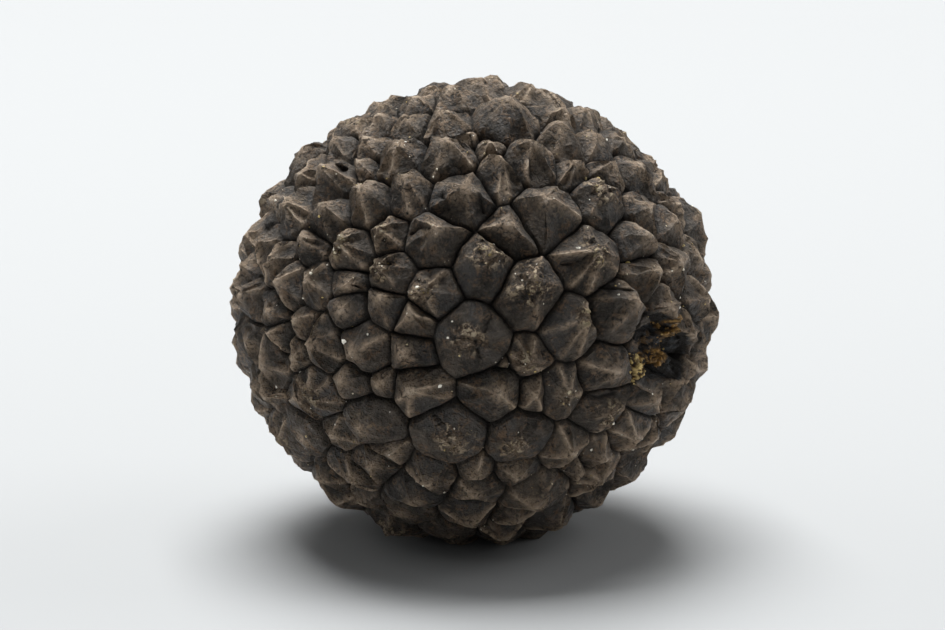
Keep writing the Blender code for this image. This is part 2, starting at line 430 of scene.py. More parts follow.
@dataclass(frozen=True)
class Facets:
    """The facets before they are cut fine, one row for each.

    A facet runs from the tip of its wart to one groove, between two corners.
    """

    wart: np.ndarray
    seam: np.ndarray
    corners: np.ndarray
    tip: np.ndarray
    first: np.ndarray
    second: np.ndarray

    @classmethod
    def mark(cls, net: bmesh.types.BMesh, warts: int) -> "Facets":
        """Number the facets of a network and write each loop's place in its facet.

        Args:
            net: The network on the unit ball, whose first vertices are the tips.
            warts: How many warts there are.

        Returns:
            The table of facets.
        """
        net.verts.index_update()
        net.edges.index_update()
        number = net.faces.layers.int.new("facet")
        place = net.loops.layers.uv.new("grain")
        rows = []
        for index, face in enumerate(net.faces):
            face[number] = index
            start = next(loop for loop in face.loops if loop.vert.index < warts)
            first, second = start.link_loop_next, start.link_loop_prev
            first[place].uv = (1, 0)
            second[place].uv = (0, 1)
            rows.append((start.vert, first.edge, first.vert, second.vert))
        return cls(
            wart=np.array([tip.index for tip, _, _, _ in rows]),
            seam=np.array([seam.index for _, seam, _, _ in rows]),
            corners=np.array([(first.index, second.index) for _, _, first, second in rows]),
            tip=np.array([tip.co for tip, _, _, _ in rows]),
            first=np.array([first.co for _, _, first, _ in rows]),
            second=np.array([second.co for _, _, _, second in rows]),
        )

    @property
    def depth(self) -> np.ndarray:
        """Angle from each facet's tip to its groove."""
        return np.arcsin(np.abs(dot(self.tip, unit(np.cross(self.first, self.second)))))

    @property
    def width(self) -> np.ndarray:
        """Angle between each facet's corners."""
        return np.arccos(np.clip(dot(self.first, self.second), -1, 1))

    def corner_depths(self) -> np.ndarray:
        """Give the mean depth of the two facets of a wart that meet at each corner.

        Returns:
            Two values for each facet: at its first and its second corner.
        """
        total: dict[tuple[int, int], list[float]] = {}
        for wart, ends, depth in zip(self.wart, self.corners, self.depth):
            for end in ends:
                total.setdefault((wart, end), []).append(depth)
        return np.array([
            [float(np.mean(total[wart, end])) for end in ends] for wart, ends in zip(self.wart, self.corners)
        ])


@dataclass(frozen=True)
class Fan:
    """Every loop of the fine mesh, placed in its wart and its facet."""

    vertex: np.ndarray
    facet: np.ndarray
    wart: np.ndarray
    seam: np.ndarray
    corner: np.ndarray
    middle: np.ndarray
    out: np.ndarray
    spots: np.ndarray
    tips: np.ndarray
    inset: np.ndarray
    along: np.ndarray
    from_crest: np.ndarray
    from_tip: np.ndarray
    radius: float

    @classmethod
    def lay(cls, mesh: bpy.types.Mesh, facets: Facets, radius: float, crowding: float) -> "Fan":
        """Read the loops of the fine mesh and crowd them towards the grooves.

        Args:
            mesh: The fine mesh on the unit ball.
            facets: The table of facets.
            radius: The radius that turns angles into lengths.
            crowding: How strongly the rows crowd towards the grooves; 1 leaves them even.

        Returns:
            The table of loops.
        """
        number = read(mesh.attributes["facet"].data, "value", kind=int)
        facet = np.repeat(number, read(mesh.polygons, "loop_total", kind=int))
        place = read(mesh.uv_layers["grain"].data, "uv", 2)
        first_share, second_share = place.reshape(-1, 2).T
        run = first_share + second_share
        turn = np.divide(second_share, run, out=np.full(len(run), 0.5), where=run > 0)
        out = 1 - (1 - np.clip(run, 0, 1)) ** crowding
        middle = 4 * turn * (1 - turn)
        tips, first, second = (rows[facet] for rows in (facets.tip, facets.first, facets.second))
        rim = first * (1 - turn)[:, None] + second * turn[:, None]
        spots = unit(tips * (1 - out)[:, None] + rim * out[:, None])
        end_depths = facets.corner_depths()[facet]
        end_depth = np.where(turn < 0.5, end_depths[:, 0], end_depths[:, 1])
        depth = (middle * facets.depth[facet] + (1 - middle) * end_depth) * radius
        width = facets.width[facet] * radius * out
        ends = facets.corners[facet]
        return cls(
            vertex=read(mesh.loops, "vertex_index", kind=int),
            facet=facet,
            wart=facets.wart[facet],
            seam=facets.seam[facet],
            corner=np.where(turn < 0.5, ends[:, 0], ends[:, 1]),
            middle=middle,
            out=out,
            spots=spots,
            tips=tips,
            inset=(1 - out) * depth,
            along=(turn - 0.5) * width,
            from_crest=np.minimum(turn, 1 - turn) * width,
            from_tip=np.linalg.norm(spots - tips, axis=1) * radius,
            radius=radius,
        )

    def by_vertex(self, values: np.ndarray) -> np.ndarray:
        """Average the loops of each vertex."""
        return np.bincount(self.vertex, values) / np.bincount(self.vertex)


@dataclass(frozen=True)
class Hollow:
    """A pit in the rind: a place on the face, half-sizes, depth, raggedness and rim."""

    longitude: float
    latitude: float
    half_width: float
    half_height: float
    depth: float
    ragged: float
    rim: float
    search: float = 2.0
    edge_share: float = 0.8
    lump_size: float = 0.9 * MM
    lump_height: float = 0.55 * MM

    def mask(self, points: np.ndarray, radius: float) -> np.ndarray:
        """Give how far each point lies in the pit.

        Args:
            points: Unit headings.
            radius: The radius that turns angles into lengths.

        Returns:
            0 outside to 1 at the bottom.
        """
        middle = heading(self.longitude, self.latitude)
        right = Vector((0, 0, 1)).cross(middle).normalized()
        up = middle.cross(right)
        across = points @ np.array(right) * radius / self.half_width
        along = points @ np.array(up) * radius / self.half_height
        reach = np.hypot(across, along)
        near = (points @ np.array(middle) > 0) & (reach < self.search)
        result = np.zeros(len(points))
        edge = ripple(points[near] * radius, self.half_width * self.edge_share, 3) * self.ragged
        result[near] = 1 - smooth(reach[near] + edge, 1 - self.rim, 1)
        return result

    def sink(self, points: np.ndarray, radius: float) -> np.ndarray:
        """Give how deep each point lies under the rind.

        Args:
            points: Unit headings.
            radius: The radius that turns angles into lengths.

        Returns:
            The depths.
        """
        mask = self.mask(points, radius)
        inside = mask > 0
        depths = mask * self.depth
        lumps = ripple(points[inside] * radius, self.lump_size, 3) * self.lump_height * self.ragged
        depths[inside] += mask[inside] * lumps
        return depths


@dataclass(frozen=True)
class Flesh:
    """A lump of torn flesh: a place on the face, its spread, its rise and its hue from 0 to 1."""

    longitude: float
    latitude: float
    spread: float
    rise: float
    hue: float
    search: float = 2.0
    edge_power: int = 4
    lump_size: float = 0.52 * MM
    lump_level: float = 0.42
    lump_share: float = 1.8

    def mask(self, points: np.ndarray, radius: float) -> np.ndarray:
        """Give how far each point lies in the lump, crumbly at its edge.

        Args:
            points: Unit headings.
            radius: The radius that turns angles into lengths.

        Returns:
            0 outside to about 1 on the lump.
        """
        apart = np.linalg.norm(points - np.array(heading(self.longitude, self.latitude)), axis=1) * radius
        near = apart < self.search * self.spread
        result = np.zeros(len(points))
        lumps = self.lump_level + self.lump_share * ripple(points[near] * radius, self.lump_size, 2)
        result[near] = np.exp(-((apart[near] / self.spread) ** self.edge_power)) * np.clip(lumps, 0, 1)
        return result


@dataclass(frozen=True)
class Crack:
    """A dark crack in a wart, drawn through places on the face; the dark is painted shade."""

    places: tuple[tuple[float, float], ...]
    half_width: float = 0.13 * MM
    depth: float = 0.34 * MM

    def distance(self, points: np.ndarray, radius: float) -> np.ndarray:
        """Measure how far each point lies from the crack.

        Args:
            points: Unit headings.
            radius: The radius that turns angles into lengths.

        Returns:
            The distances.
        """
        ends = [np.array(heading(*place)) for place in self.places]
        nearest = np.full(len(points), math.inf)
        for start, end in zip(ends, ends[1:]):
            run = end - start
            share = np.clip((points - start) @ run / (run @ run), 0, 1)
            apart = np.linalg.norm(points - start - share[:, None] * run, axis=1)
            nearest = np.minimum(nearest, apart)
        return nearest * radius

    def mask(self, points: np.ndarray, radius: float) -> np.ndarray:
        """Return 1 in the crack, falling to 0 beside it."""
        return np.exp(-((self.distance(points, radius) / self.half_width) ** 2))


@dataclass(frozen=True)
class Warts:
    """The traits of every wart, one row for each."""

    dome: np.ndarray
    ridge: np.ndarray
    crest: np.ndarray
    axis: np.ndarray
    tip: np.ndarray
    shoulder: np.ndarray
    power: np.ndarray
    tone: np.ndarray
    comb: np.ndarray
    scar: np.ndarray
    scar_reach: np.ndarray


@dataclass(frozen=True)
class Relief:
    """Heights over the body, and how the facets, skirts and grooves are shaped."""

    # tips and shoulders; a plate is low at its tip and high at its shoulder
    tip_rise: float = 0.61
    shoulder_rise: float = 0.30 * MM
    plate_tip: float = 0.46
    plate_shoulder: float = 1.7
    kind_shares: tuple[float, float, float] = (0.50, 0.20, 0.30)
    power: tuple[float, float] = (0.92, 1.30)
    tip_round: float = 0.13
    dome_power: int = 3
    # ridges; above a latitude the usual wart of the face is a wedge that runs sideways
    ridge_spread: float = 0.75
    ridge_edge: float = 0.08
    ridge_power: float = 1.5
    arched_from: float = 24.0
    arch_run: float = 10.0
    # grooves and the skirts that drop into them
    seam_level: tuple[float, float] = (-0.32 * MM, -0.12 * MM)
    joined_level: float = 0.12 * MM
    joined_share: float = 0.08
    corner_drop: float = 0.17 * MM
    skirt: tuple[float, float] = (0.06 * MM, 0.13 * MM)
    corner_skirt: float = 0.23 * MM
    skirt_power: float = 1.7
    corner_blend: float = 0.4
    # hollows, crests and ledges of the facets
    sag: tuple[float, float] = (0.04 * MM, 0.32 * MM)
    crest_slots: int = 64
    crest_fade: float = 1.3 * MM
    crest_fade_share: float = 0.5
    ledge_share: float = 0.55
    ledge_place: tuple[float, float] = (0.35, 0.80)
    ledge_drop: tuple[float, float] = (0.03 * MM, 0.15 * MM)
    ledge_width: float = 0.045
    ledge_wander: float = 0.30
    ledge_size: float = 1.6 * MM
    ledge_middle: float = 0.6
    # the crown and the flanks are rougher than the face, and the top gets painted light, paler towards the
    # top
    crown: tuple[float, float] = (0.25, 0.65)
    painted_top_light: tuple[float, float] = (0.20, 0.85)
    flank: tuple[float, float] = (0.60, 0.90)
    crown_rough: float = 1.2
    flank_rough: float = 1.1
    # growth folds round the tips of the rough warts
    fold: float = 0.20 * MM
    ring_share: float = 0.4
    fold_size: float = 0.62 * MM
    fold_run: float = 6.0
    fold_apart: int = 3
    fold_power: int = 4
    # broken tips and the crusts on them
    scar_share: float = 0.34
    scar: tuple[float, float] = (0.5, 1.0)
    unscarred: float = 0.10
    scar_reach: tuple[float, float] = (0.30, 0.62)
    scar_fade: tuple[float, float] = (0.4, 1.4)
    scar_height: float = 0.40 * MM
    scar_size: float = 0.55 * MM
    scar_sink: float = 0.20
    scar_edge: float = 0.55
    scar_edge_size: float = 1.3 * MM
    # lines that wander and ground that is uneven, sampled well apart from each other
    bend: float = 0.20 * MM
    bend_size: float = 2.4 * MM
    bend_apart: float = 31 * MM
    fray: float = 0.07 * MM
    fray_size: float = 0.75 * MM
    lump: float = 0.12 * MM
    lump_size: float = 2.0 * MM
    grit: float = 0.09 * MM
    grit_size: float = 0.8 * MM
    grit_apart: float = 47 * MM
    crust_apart: float = 77 * MM
    # painted shade beside the grooves, gaping at the corners, pale crests and tips, and uneven tone
    shade_width: float = 0.10 * MM
    shade_corner: float = 1.1
    shade_power: int = 3
    shade_wander: float = 0.35
    shade_size: float = 1.4 * MM
    shade_calm: float = 0.5
    crest_width: float = 0.32 * MM
    crest_top_light: float = 0.3
    crest_bare: tuple[float, float] = (-0.03 * MM, 0.06 * MM)
    tip_width: float = 0.75 * MM
    wart_tone: float = 0.5
    seed: int = 52

    def draw_warts(self, layout: Layout, facets: Facets, halves: np.ndarray, radius: float) -> Warts:
        """Draw the traits of every wart.

        Args:
            layout: The layout that the solid shares.
            facets: The table of facets.
            halves: The half-widths in radians.
            radius: The radius that turns angles into lengths.

        Returns:
            The table of warts.
        """
        count = len(halves)
        heights, _, _, plates = layout.traits(count)
        rng = np.random.default_rng(self.seed)
        usual = (Kind.PYRAMID, Kind.DOME, Kind.WEDGE)
        kinds = [usual[pick] for pick in rng.choice(len(usual), count, p=self.kind_shares)]
        axis = unit(rng.normal(size=(count, 3)))
        scar = np.where(rng.random(count) < self.scar_share, rng.uniform(*self.scar, count), self.unscarred)
        tips = np.zeros((count, 3))
        tips[facets.wart] = facets.tip
        for number, (lon, lat, *_) in enumerate(FACE):
            arched = lat > self.arched_from
            drawn = (Kind.WEDGE, (lon + self.arch_run, lat)) if arched else (kinds[number], None)
            kinds[number], towards = FACE_KINDS.get((lon, lat), drawn)
            if towards:
                axis[number] = np.array(heading(*towards)) - tips[number]
            scar[number] = 1.0 if (lon, lat) in FACE_SCARS else self.unscarred
        kinds = [Kind.PLATE if plate else kind for kind, plate in zip(kinds, plates)]
        tip = self.tip_rise * halves * radius * heights * np.where(plates, self.plate_tip, 1)
        tip[EATEN_NUMBER] = 0
        return Warts(
            dome=np.array([kind.value.dome for kind in kinds]),
            ridge=np.array([kind.value.ridge for kind in kinds]),
            crest=np.array([rng.uniform(*kind.value.crest, self.crest_slots) for kind in kinds]),
            axis=unit(axis - tips * dot(axis, tips)[:, None]),
            tip=tip,
            shoulder=self.shoulder_rise * np.where(plates, self.plate_shoulder, 1),
            power=rng.uniform(*self.power, count),
            tone=rng.random(count),
            comb=rng.random(count) ** 2,
            scar=scar,
            scar_reach=rng.uniform(*self.scar_reach, count) * halves * radius,
        )

    def crest_rise(self, fan: Fan, warts: Warts) -> np.ndarray:
        """Give how much the crest beside each loop stands up, fading in and out along it.

        Args:
            fan: The table of loops.
            warts: The table of warts.

        Returns:
            The rises, some of them below zero.
        """
        fade = ripple(fan.spots * fan.radius, self.crest_fade, 2)
        rise = warts.crest[fan.wart, fan.corner % self.crest_slots]
        return rise + fade * np.ptp(warts.crest, axis=1)[fan.wart] * self.crest_fade_share

    def roughness(self, heads: np.ndarray) -> np.ndarray:
        """Return how rough the rind is: 1 on the face and more on the crown and the flanks."""
        crown = self.crown_rough * smooth(heads[:, 2], *self.crown)
        return 1 + np.maximum(crown, self.flank_rough * smooth(np.abs(heads[:, 0]), *self.flank))

    def top(self, fan: Fan, warts: Warts, crest_rise: np.ndarray, facet_count: int) -> np.ndarray:
        """Give the height of the facets, without the grooves.

        Args:
            fan: The table of loops.
            warts: The table of warts.
            crest_rise: How much the crest beside each loop stands up.
            facet_count: How many facets there are.

        Returns:
            The heights over the body.
        """
        rng = np.random.default_rng(self.seed + 1)
        sag = rng.uniform(*self.sag, facet_count)[fan.facet]
        ledges = self._ledges(fan, rng, facet_count)
        offset = fan.spots - fan.tips
        flat = offset - fan.tips * dot(offset, fan.tips)[:, None]
        axis = warts.axis[fan.wart]
        along, across = dot(flat, axis), dot(flat, np.cross(axis, fan.tips))
        length = np.linalg.norm(flat, axis=1)
        aligned = np.divide(along, length, out=np.zeros(len(length)), where=length > 0)
        turned = np.hypot(np.arccos(np.clip(np.abs(aligned), 0, 1)), self.ridge_edge)
        ridge = warts.ridge[fan.wart] * (1 - np.clip(turned / self.ridge_spread, 0, 1)) ** self.ridge_power
        eased = np.minimum(1, np.hypot(fan.out * (1 - ridge * (1 - fan.out)), self.tip_round))
        dome = warts.dome[fan.wart]
        rise = (1 - dome) * (1 - eased) ** warts.power[fan.wart] + dome * (1 - eased**self.dome_power)
        belly = 4 * fan.out * (1 - fan.out)
        return (
            warts.shoulder[fan.wart]
            + warts.tip[fan.wart] * rise
            - sag * fan.middle * belly
            + crest_rise * (1 - fan.middle) ** 2 * belly
            - ledges
            + self._folds(fan, along * fan.radius, across * fan.radius)
        )

    def _ledges(self, fan: Fan, rng: np.random.Generator, facet_count: int) -> np.ndarray:
        """Give how far each loop lies below the ledge of its facet, if the facet has one.

        Args:
            fan: The table of loops.
            rng: The generator to draw from.
            facet_count: How many facets there are.

        Returns:
            The drops.
        """
        place = rng.uniform(*self.ledge_place, facet_count)[fan.facet]
        stepped = rng.random(facet_count) < self.ledge_share
        drop = np.where(stepped, rng.uniform(*self.ledge_drop, facet_count), 0)[fan.facet]
        place = place + ripple(fan.spots * fan.radius, self.ledge_size, 3) * self.ledge_wander
        ledge = smooth(fan.out, place - self.ledge_width, place + self.ledge_width)
        return drop * self.roughness(fan.spots) * ledge * smooth(fan.middle, 0, self.ledge_middle)

    def _folds(self, fan: Fan, along: np.ndarray, across: np.ndarray) -> np.ndarray:
        """Give the height of the growth folds, which ring the ridge of each rough wart.

        Args:
            fan: The table of loops.
            along: How far each loop lies from its tip along the ridge.
            across: How far it lies to the side of it.

        Returns:
            The heights.
        """
        rings = np.hypot(across, self.ring_share * along)
        weave = np.column_stack([along / self.fold_run, rings, fan.wart * self.fold_size * self.fold_apart])
        folds = ripple(weave, self.fold_size, 2)
        return folds * self.fold * (self.roughness(fan.spots) - 1) * (1 - fan.out**self.fold_power)

    def groove(self, fan: Fan, facets: Facets) -> tuple[np.ndarray, np.ndarray]:
        """Give the floor of the groove beside each loop and how far the loop drops towards it.

        Args:
            fan: The table of loops.
            facets: The table of facets.

        Returns:
            The level of the floor and the drop, 0 on the facet to 1 in the groove.
        """
        rng = np.random.default_rng(self.seed + 2)
        count = facets.seam.max() + 1
        levels = rng.uniform(*self.seam_level, count)
        levels = np.where(rng.random(count) < self.joined_share, self.joined_level, levels)
        skirts = rng.uniform(*self.skirt, count)
        ends = facets.corners.ravel()
        met = np.bincount(ends)
        corner_levels = np.bincount(ends, np.repeat(levels[facets.seam], 2)) / np.maximum(met, 1)
        blend = fan.middle**self.corner_blend
        level = blend * levels[fan.seam] + (1 - blend) * (corner_levels[fan.corner] - self.corner_drop)
        skirt = blend * skirts[fan.seam] + (1 - blend) * self.corner_skirt
        return level, np.exp(-((fan.inset / skirt) ** self.skirt_power))

    def recess_shade(self, fan: Fan) -> np.ndarray:
        """Give the painted shade beside each loop's groove, which gapes at corners and wanders in width.

        Args:
            fan: The table of loops.

        Returns:
            Values from 0 to 1.
        """
        gape = 1 + self.shade_corner * (1 - fan.middle) ** self.shade_power
        gape = gape + self.shade_wander * ripple(fan.spots * fan.radius, self.shade_size, 2)
        return np.exp(-((fan.inset / self.shade_width / gape) ** 2))

    def glow(self, fan: Fan, crest_rise: np.ndarray, painted_top_light: np.ndarray) -> np.ndarray:
        """Give how pale each loop is near its tip and beside its crests, where they stand up.

        Args:
            fan: The table of loops.
            crest_rise: How much the crest beside each loop stands up.
            painted_top_light: How much painted top light each loop gets, which widens its crest.

        Returns:
            Values from 0 to 1.
        """
        crest = np.exp(-((fan.from_crest / self.crest_width / (1 + self.crest_top_light * painted_top_light)) ** 2))
        crest *= smooth(crest_rise, *self.crest_bare)
        return np.maximum(crest, np.exp(-((fan.from_tip / self.tip_width) ** 2)))

    def broken(self, fan: Fan, warts: Warts) -> np.ndarray:
        """Give how broken each loop is, most at its tip.

        Args:
            fan: The table of loops.
            warts: The table of warts.

        Returns:
            Values from 0 to 1.
        """
        edge = ripple(fan.spots * fan.radius, self.scar_edge_size, 2) * self.scar_edge
        reach = fan.from_tip / warts.scar_reach[fan.wart] + edge
        return warts.scar[fan.wart] * (1 - smooth(reach, *self.scar_fade))

    def bent(self, heads: np.ndarray, radius: float) -> np.ndarray:
        """Bend the net sideways so that no crest or groove runs straight.

        Args:
            heads: Unit headings.
            radius: The radius that turns angles into lengths.

        Returns:
            The bent headings.
        """
        shift = np.zeros_like(heads)
        for size, share in ((self.bend_size, self.bend), (self.fray_size, self.fray)):
            for axis in range(3):
                places = heads * radius + (axis + 1) * self.bend_apart
                shift[:, axis] += ripple(places, size, 2) * share / radius
        return unit(heads + shift)


@dataclass(frozen=True)
class Rind:
    """The warty skin of the truffle."""

    relief: Relief
    body: Body
    layout: Layout = Layout()
    name: str = "truffle_rind"
    cuts: int = 9
    hollow_margin: float = 1.5
    crack_reach: float = 0.7 * MM
    scar_reach: float = 1.3 * MM
    sharp_angle: float = math.radians(34)
    crowding: float = 1.5
    grain_apart: tuple[float, float] = (7.3, 3.1)
    bake_margin: float = 0.02

    def build(self) -> bpy.types.Object:
        """Model the rind.

        Returns:
            The finished skin, closed and smooth shaded.
        """
        headings, halves = self.layout.place()
        net = self.layout.network(headings, halves)
        facets = Facets.mark(net, len(halves))
        bmesh.ops.subdivide_edges(net, edges=net.edges, cuts=self.cuts, use_grid_fill=True)
        self._refine(net)
        mesh = mesh_of(self.name, net)
        self._shape(mesh, facets, halves)
        self._bake_map(mesh)
        mesh.shade_smooth()
        mesh.set_sharp_from_angle(angle=self.sharp_angle)
        rind = stand(self.name, mesh)
        LOG.info("%s: %d warts, %d faces", self.name, len(halves), len(mesh.polygons))
        return rind

    def _refine(self, net: bmesh.types.BMesh) -> None:
        """Cut the net finer round the hollows, the cracks and the broken tips.

        Args:
            net: The network after its even cuts.
        """
        radius = self.body.radius
        places = np.array([vert.co for vert in net.verts])
        near = np.zeros(len(places), bool)
        for hollow in (WOUND, INSECT_HOLE):
            middle = np.array(heading(hollow.longitude, hollow.latitude))
            near |= np.linalg.norm(places - middle, axis=1) * radius < self.hollow_margin * hollow.half_height
        for crack in CRACKS:
            near |= crack.distance(places, radius) < self.crack_reach
        for wart in FACE:
            if wart[:2] in FACE_SCARS:
                tip = np.array(heading(*(wart[3:] or wart[:2])))
                near |= np.linalg.norm(places - tip, axis=1) * radius < self.scar_reach
        net.verts.index_update()
        edges = [edge for edge in net.edges if all(near[vert.index] for vert in edge.verts)]
        bmesh.ops.subdivide_edges(net, edges=edges, cuts=1, use_grid_fill=True)
        bmesh.ops.triangulate(net, faces=[face for face in net.faces if len(face.verts) > 3])

    def _shape(self, mesh: bpy.types.Mesh, facets: Facets, halves: np.ndarray) -> None:
        """Move every vertex to its place and write the values that the finish reads.

        Args:
            mesh: The fine mesh on the unit ball.
            facets: The table of facets.
            halves: The half-widths of the warts in radians.
        """
        relief, radius = self.relief, self.body.radius
        fan = Fan.lay(mesh, facets, radius, self.crowding)
        warts = relief.draw_warts(self.layout, facets, halves, radius)
        crest_rise = relief.crest_rise(fan, warts)
        level, drop = relief.groove(fan, facets)
        top = relief.top(fan, warts, crest_rise, len(facets.wart))
        height = fan.by_vertex(level * drop + top * (1 - drop))
        marks = self._growth(fan, warts, crest_rise, drop, len(facets.wart))
        heads = unit(np.stack([fan.by_vertex(fan.spots[:, axis]) for axis in range(3)], axis=1))
        bent = relief.bent(heads, radius)
        height += self._weather(heads, marks)
        height += self._damage(bent, marks)

        points = self.body.surface(bent, height)
        points[points[:, 2] < 0, 2] = 0
        mesh.vertices.foreach_set("co", points.astype(np.float32).ravel())
        for name, values in marks.items():
            mesh.attributes.new(name, "FLOAT", "POINT").data.foreach_set("value", values.astype(np.float32))
        facet_apart, wart_apart = self.grain_apart
        runs = fan.along / MM + fan.facet * facet_apart, fan.inset / MM + fan.wart * wart_apart
        mesh.uv_layers["grain"].data.foreach_set("uv", np.stack(runs, axis=1).astype(np.float32).ravel())
        mesh.attributes.remove(mesh.attributes["facet"])
        mesh.update()
        mesh.validate()

    def _growth(
        self, fan: Fan, warts: Warts, crest_rise: np.ndarray, drop: np.ndarray, facet_count: int
    ) -> dict[str, np.ndarray]:
        """Work out the values that come with growth.

        Args:
            fan: The table of loops.
            warts: The table of warts.
            crest_rise: How much the crest beside each loop stands up.
            drop: How far each loop drops towards its groove.
            facet_count: How many facets there are.

        Returns:
            One value for each vertex, by name.
        """
        relief = self.relief
        rng = np.random.default_rng(relief.seed + 3)
        facet_tone = rng.random(facet_count)[fan.facet]
        painted_top_light = smooth(fan.spots[:, 2], *relief.painted_top_light)
        marks = {
            "tone": relief.wart_tone * warts.tone[fan.wart] + (1 - relief.wart_tone) * facet_tone,
            "cool": rng.random(facet_count)[fan.facet],
            "comb": warts.comb[fan.wart],
            "crest": relief.glow(fan, crest_rise, painted_top_light) * (1 - drop),
            "recess_shade": relief.recess_shade(fan),
            "scar": relief.broken(fan, warts),
            "painted_top_light": painted_top_light,
        }
        return {name: fan.by_vertex(values) for name, values in marks.items()}

    def _weather(self, heads: np.ndarray, marks: dict[str, np.ndarray]) -> np.ndarray:
        """Give the uneven ground and the crusts on broken tips.

        Args:
            heads: Unit headings of the vertices.
            marks: The values so far; the crusts are added.

        Returns:
            The heights.
        """
        relief = self.relief
        base = heads * self.body.radius
        rough = relief.roughness(heads)
        grit = ripple(base + relief.grit_apart, relief.grit_size, 3) * relief.grit * rough
        marks["crust"] = ripple(base + relief.crust_apart, relief.scar_size, 3)
        return (
            ripple(base, relief.lump_size, 2) * relief.lump * rough
            + grit * (1 - relief.shade_calm * marks["recess_shade"])
            + marks["scar"] * relief.scar_height * (marks["crust"] - relief.scar_sink)
        )

    def _damage(self, bent: np.ndarray, marks: dict[str, np.ndarray]) -> np.ndarray:
        """Give the cracks, the hollows and the torn flesh.

        Args:
            bent: Bent unit headings of the vertices.
            marks: The values so far; those of the damage are added.

        Returns:
            The heights, below zero in the cracks and the hollows.
        """
        radius = self.body.radius
        cracks = [crack.mask(bent, radius) for crack in CRACKS]
        lumps = np.array([lump.mask(bent, radius) for lump in FLESH])
        marks["crack"] = np.max(cracks, axis=0)
        marks["wound"] = WOUND.mask(bent, radius)
        marks["hole"] = INSECT_HOLE.mask(bent, radius)
        marks["flesh"] = lumps.max(axis=0)
        marks["ripe"] = np.array([lump.hue for lump in FLESH])[lumps.argmax(axis=0)]
        return (
            np.max([lump.rise * mask for lump, mask in zip(FLESH, lumps)], axis=0)
            - np.max([crack.depth * mask for crack, mask in zip(CRACKS, cracks)], axis=0)
            - WOUND.sink(bent, radius)
            - INSECT_HOLE.sink(bent, radius)
        )

    def _bake_map(self, mesh: bpy.types.Mesh) -> None:
        """Lay a map of six square charts, one for each side of a box round the rind.

        Args:
            mesh: The finished mesh.
        """
        sides = read(mesh.polygons, "loop_total", kind=int)
        starts = read(mesh.polygons, "loop_start", kind=int)
        directions = read(mesh.vertices, "co", 3).reshape(-1, 3) - self.body.centre
        corners = directions[read(mesh.loops, "vertex_index", kind=int)]
        facing = np.add.reduceat(corners, starts)
        axis = np.abs(facing).argmax(axis=1)
        back = facing[np.arange(len(axis)), axis] < 0
        axis, back = np.repeat(axis, sides), np.repeat(back, sides)
        rows = np.arange(len(axis))
        deep = np.abs(corners[rows, axis])
        across = corners[rows, (axis + 1) % 3] / deep * np.where(back, -1, 1)
        along = corners[rows, (axis + 2) % 3] / deep
        half = 0.5 - self.bake_margin
        chart = np.stack([(axis + 0.5 + across * half) / 3, (back + 0.5 + along * half) / 2], axis=1)
        mesh.uv_layers.new(name="OFBake").data.foreach_set("uv", chart.astype(np.float32).ravel())


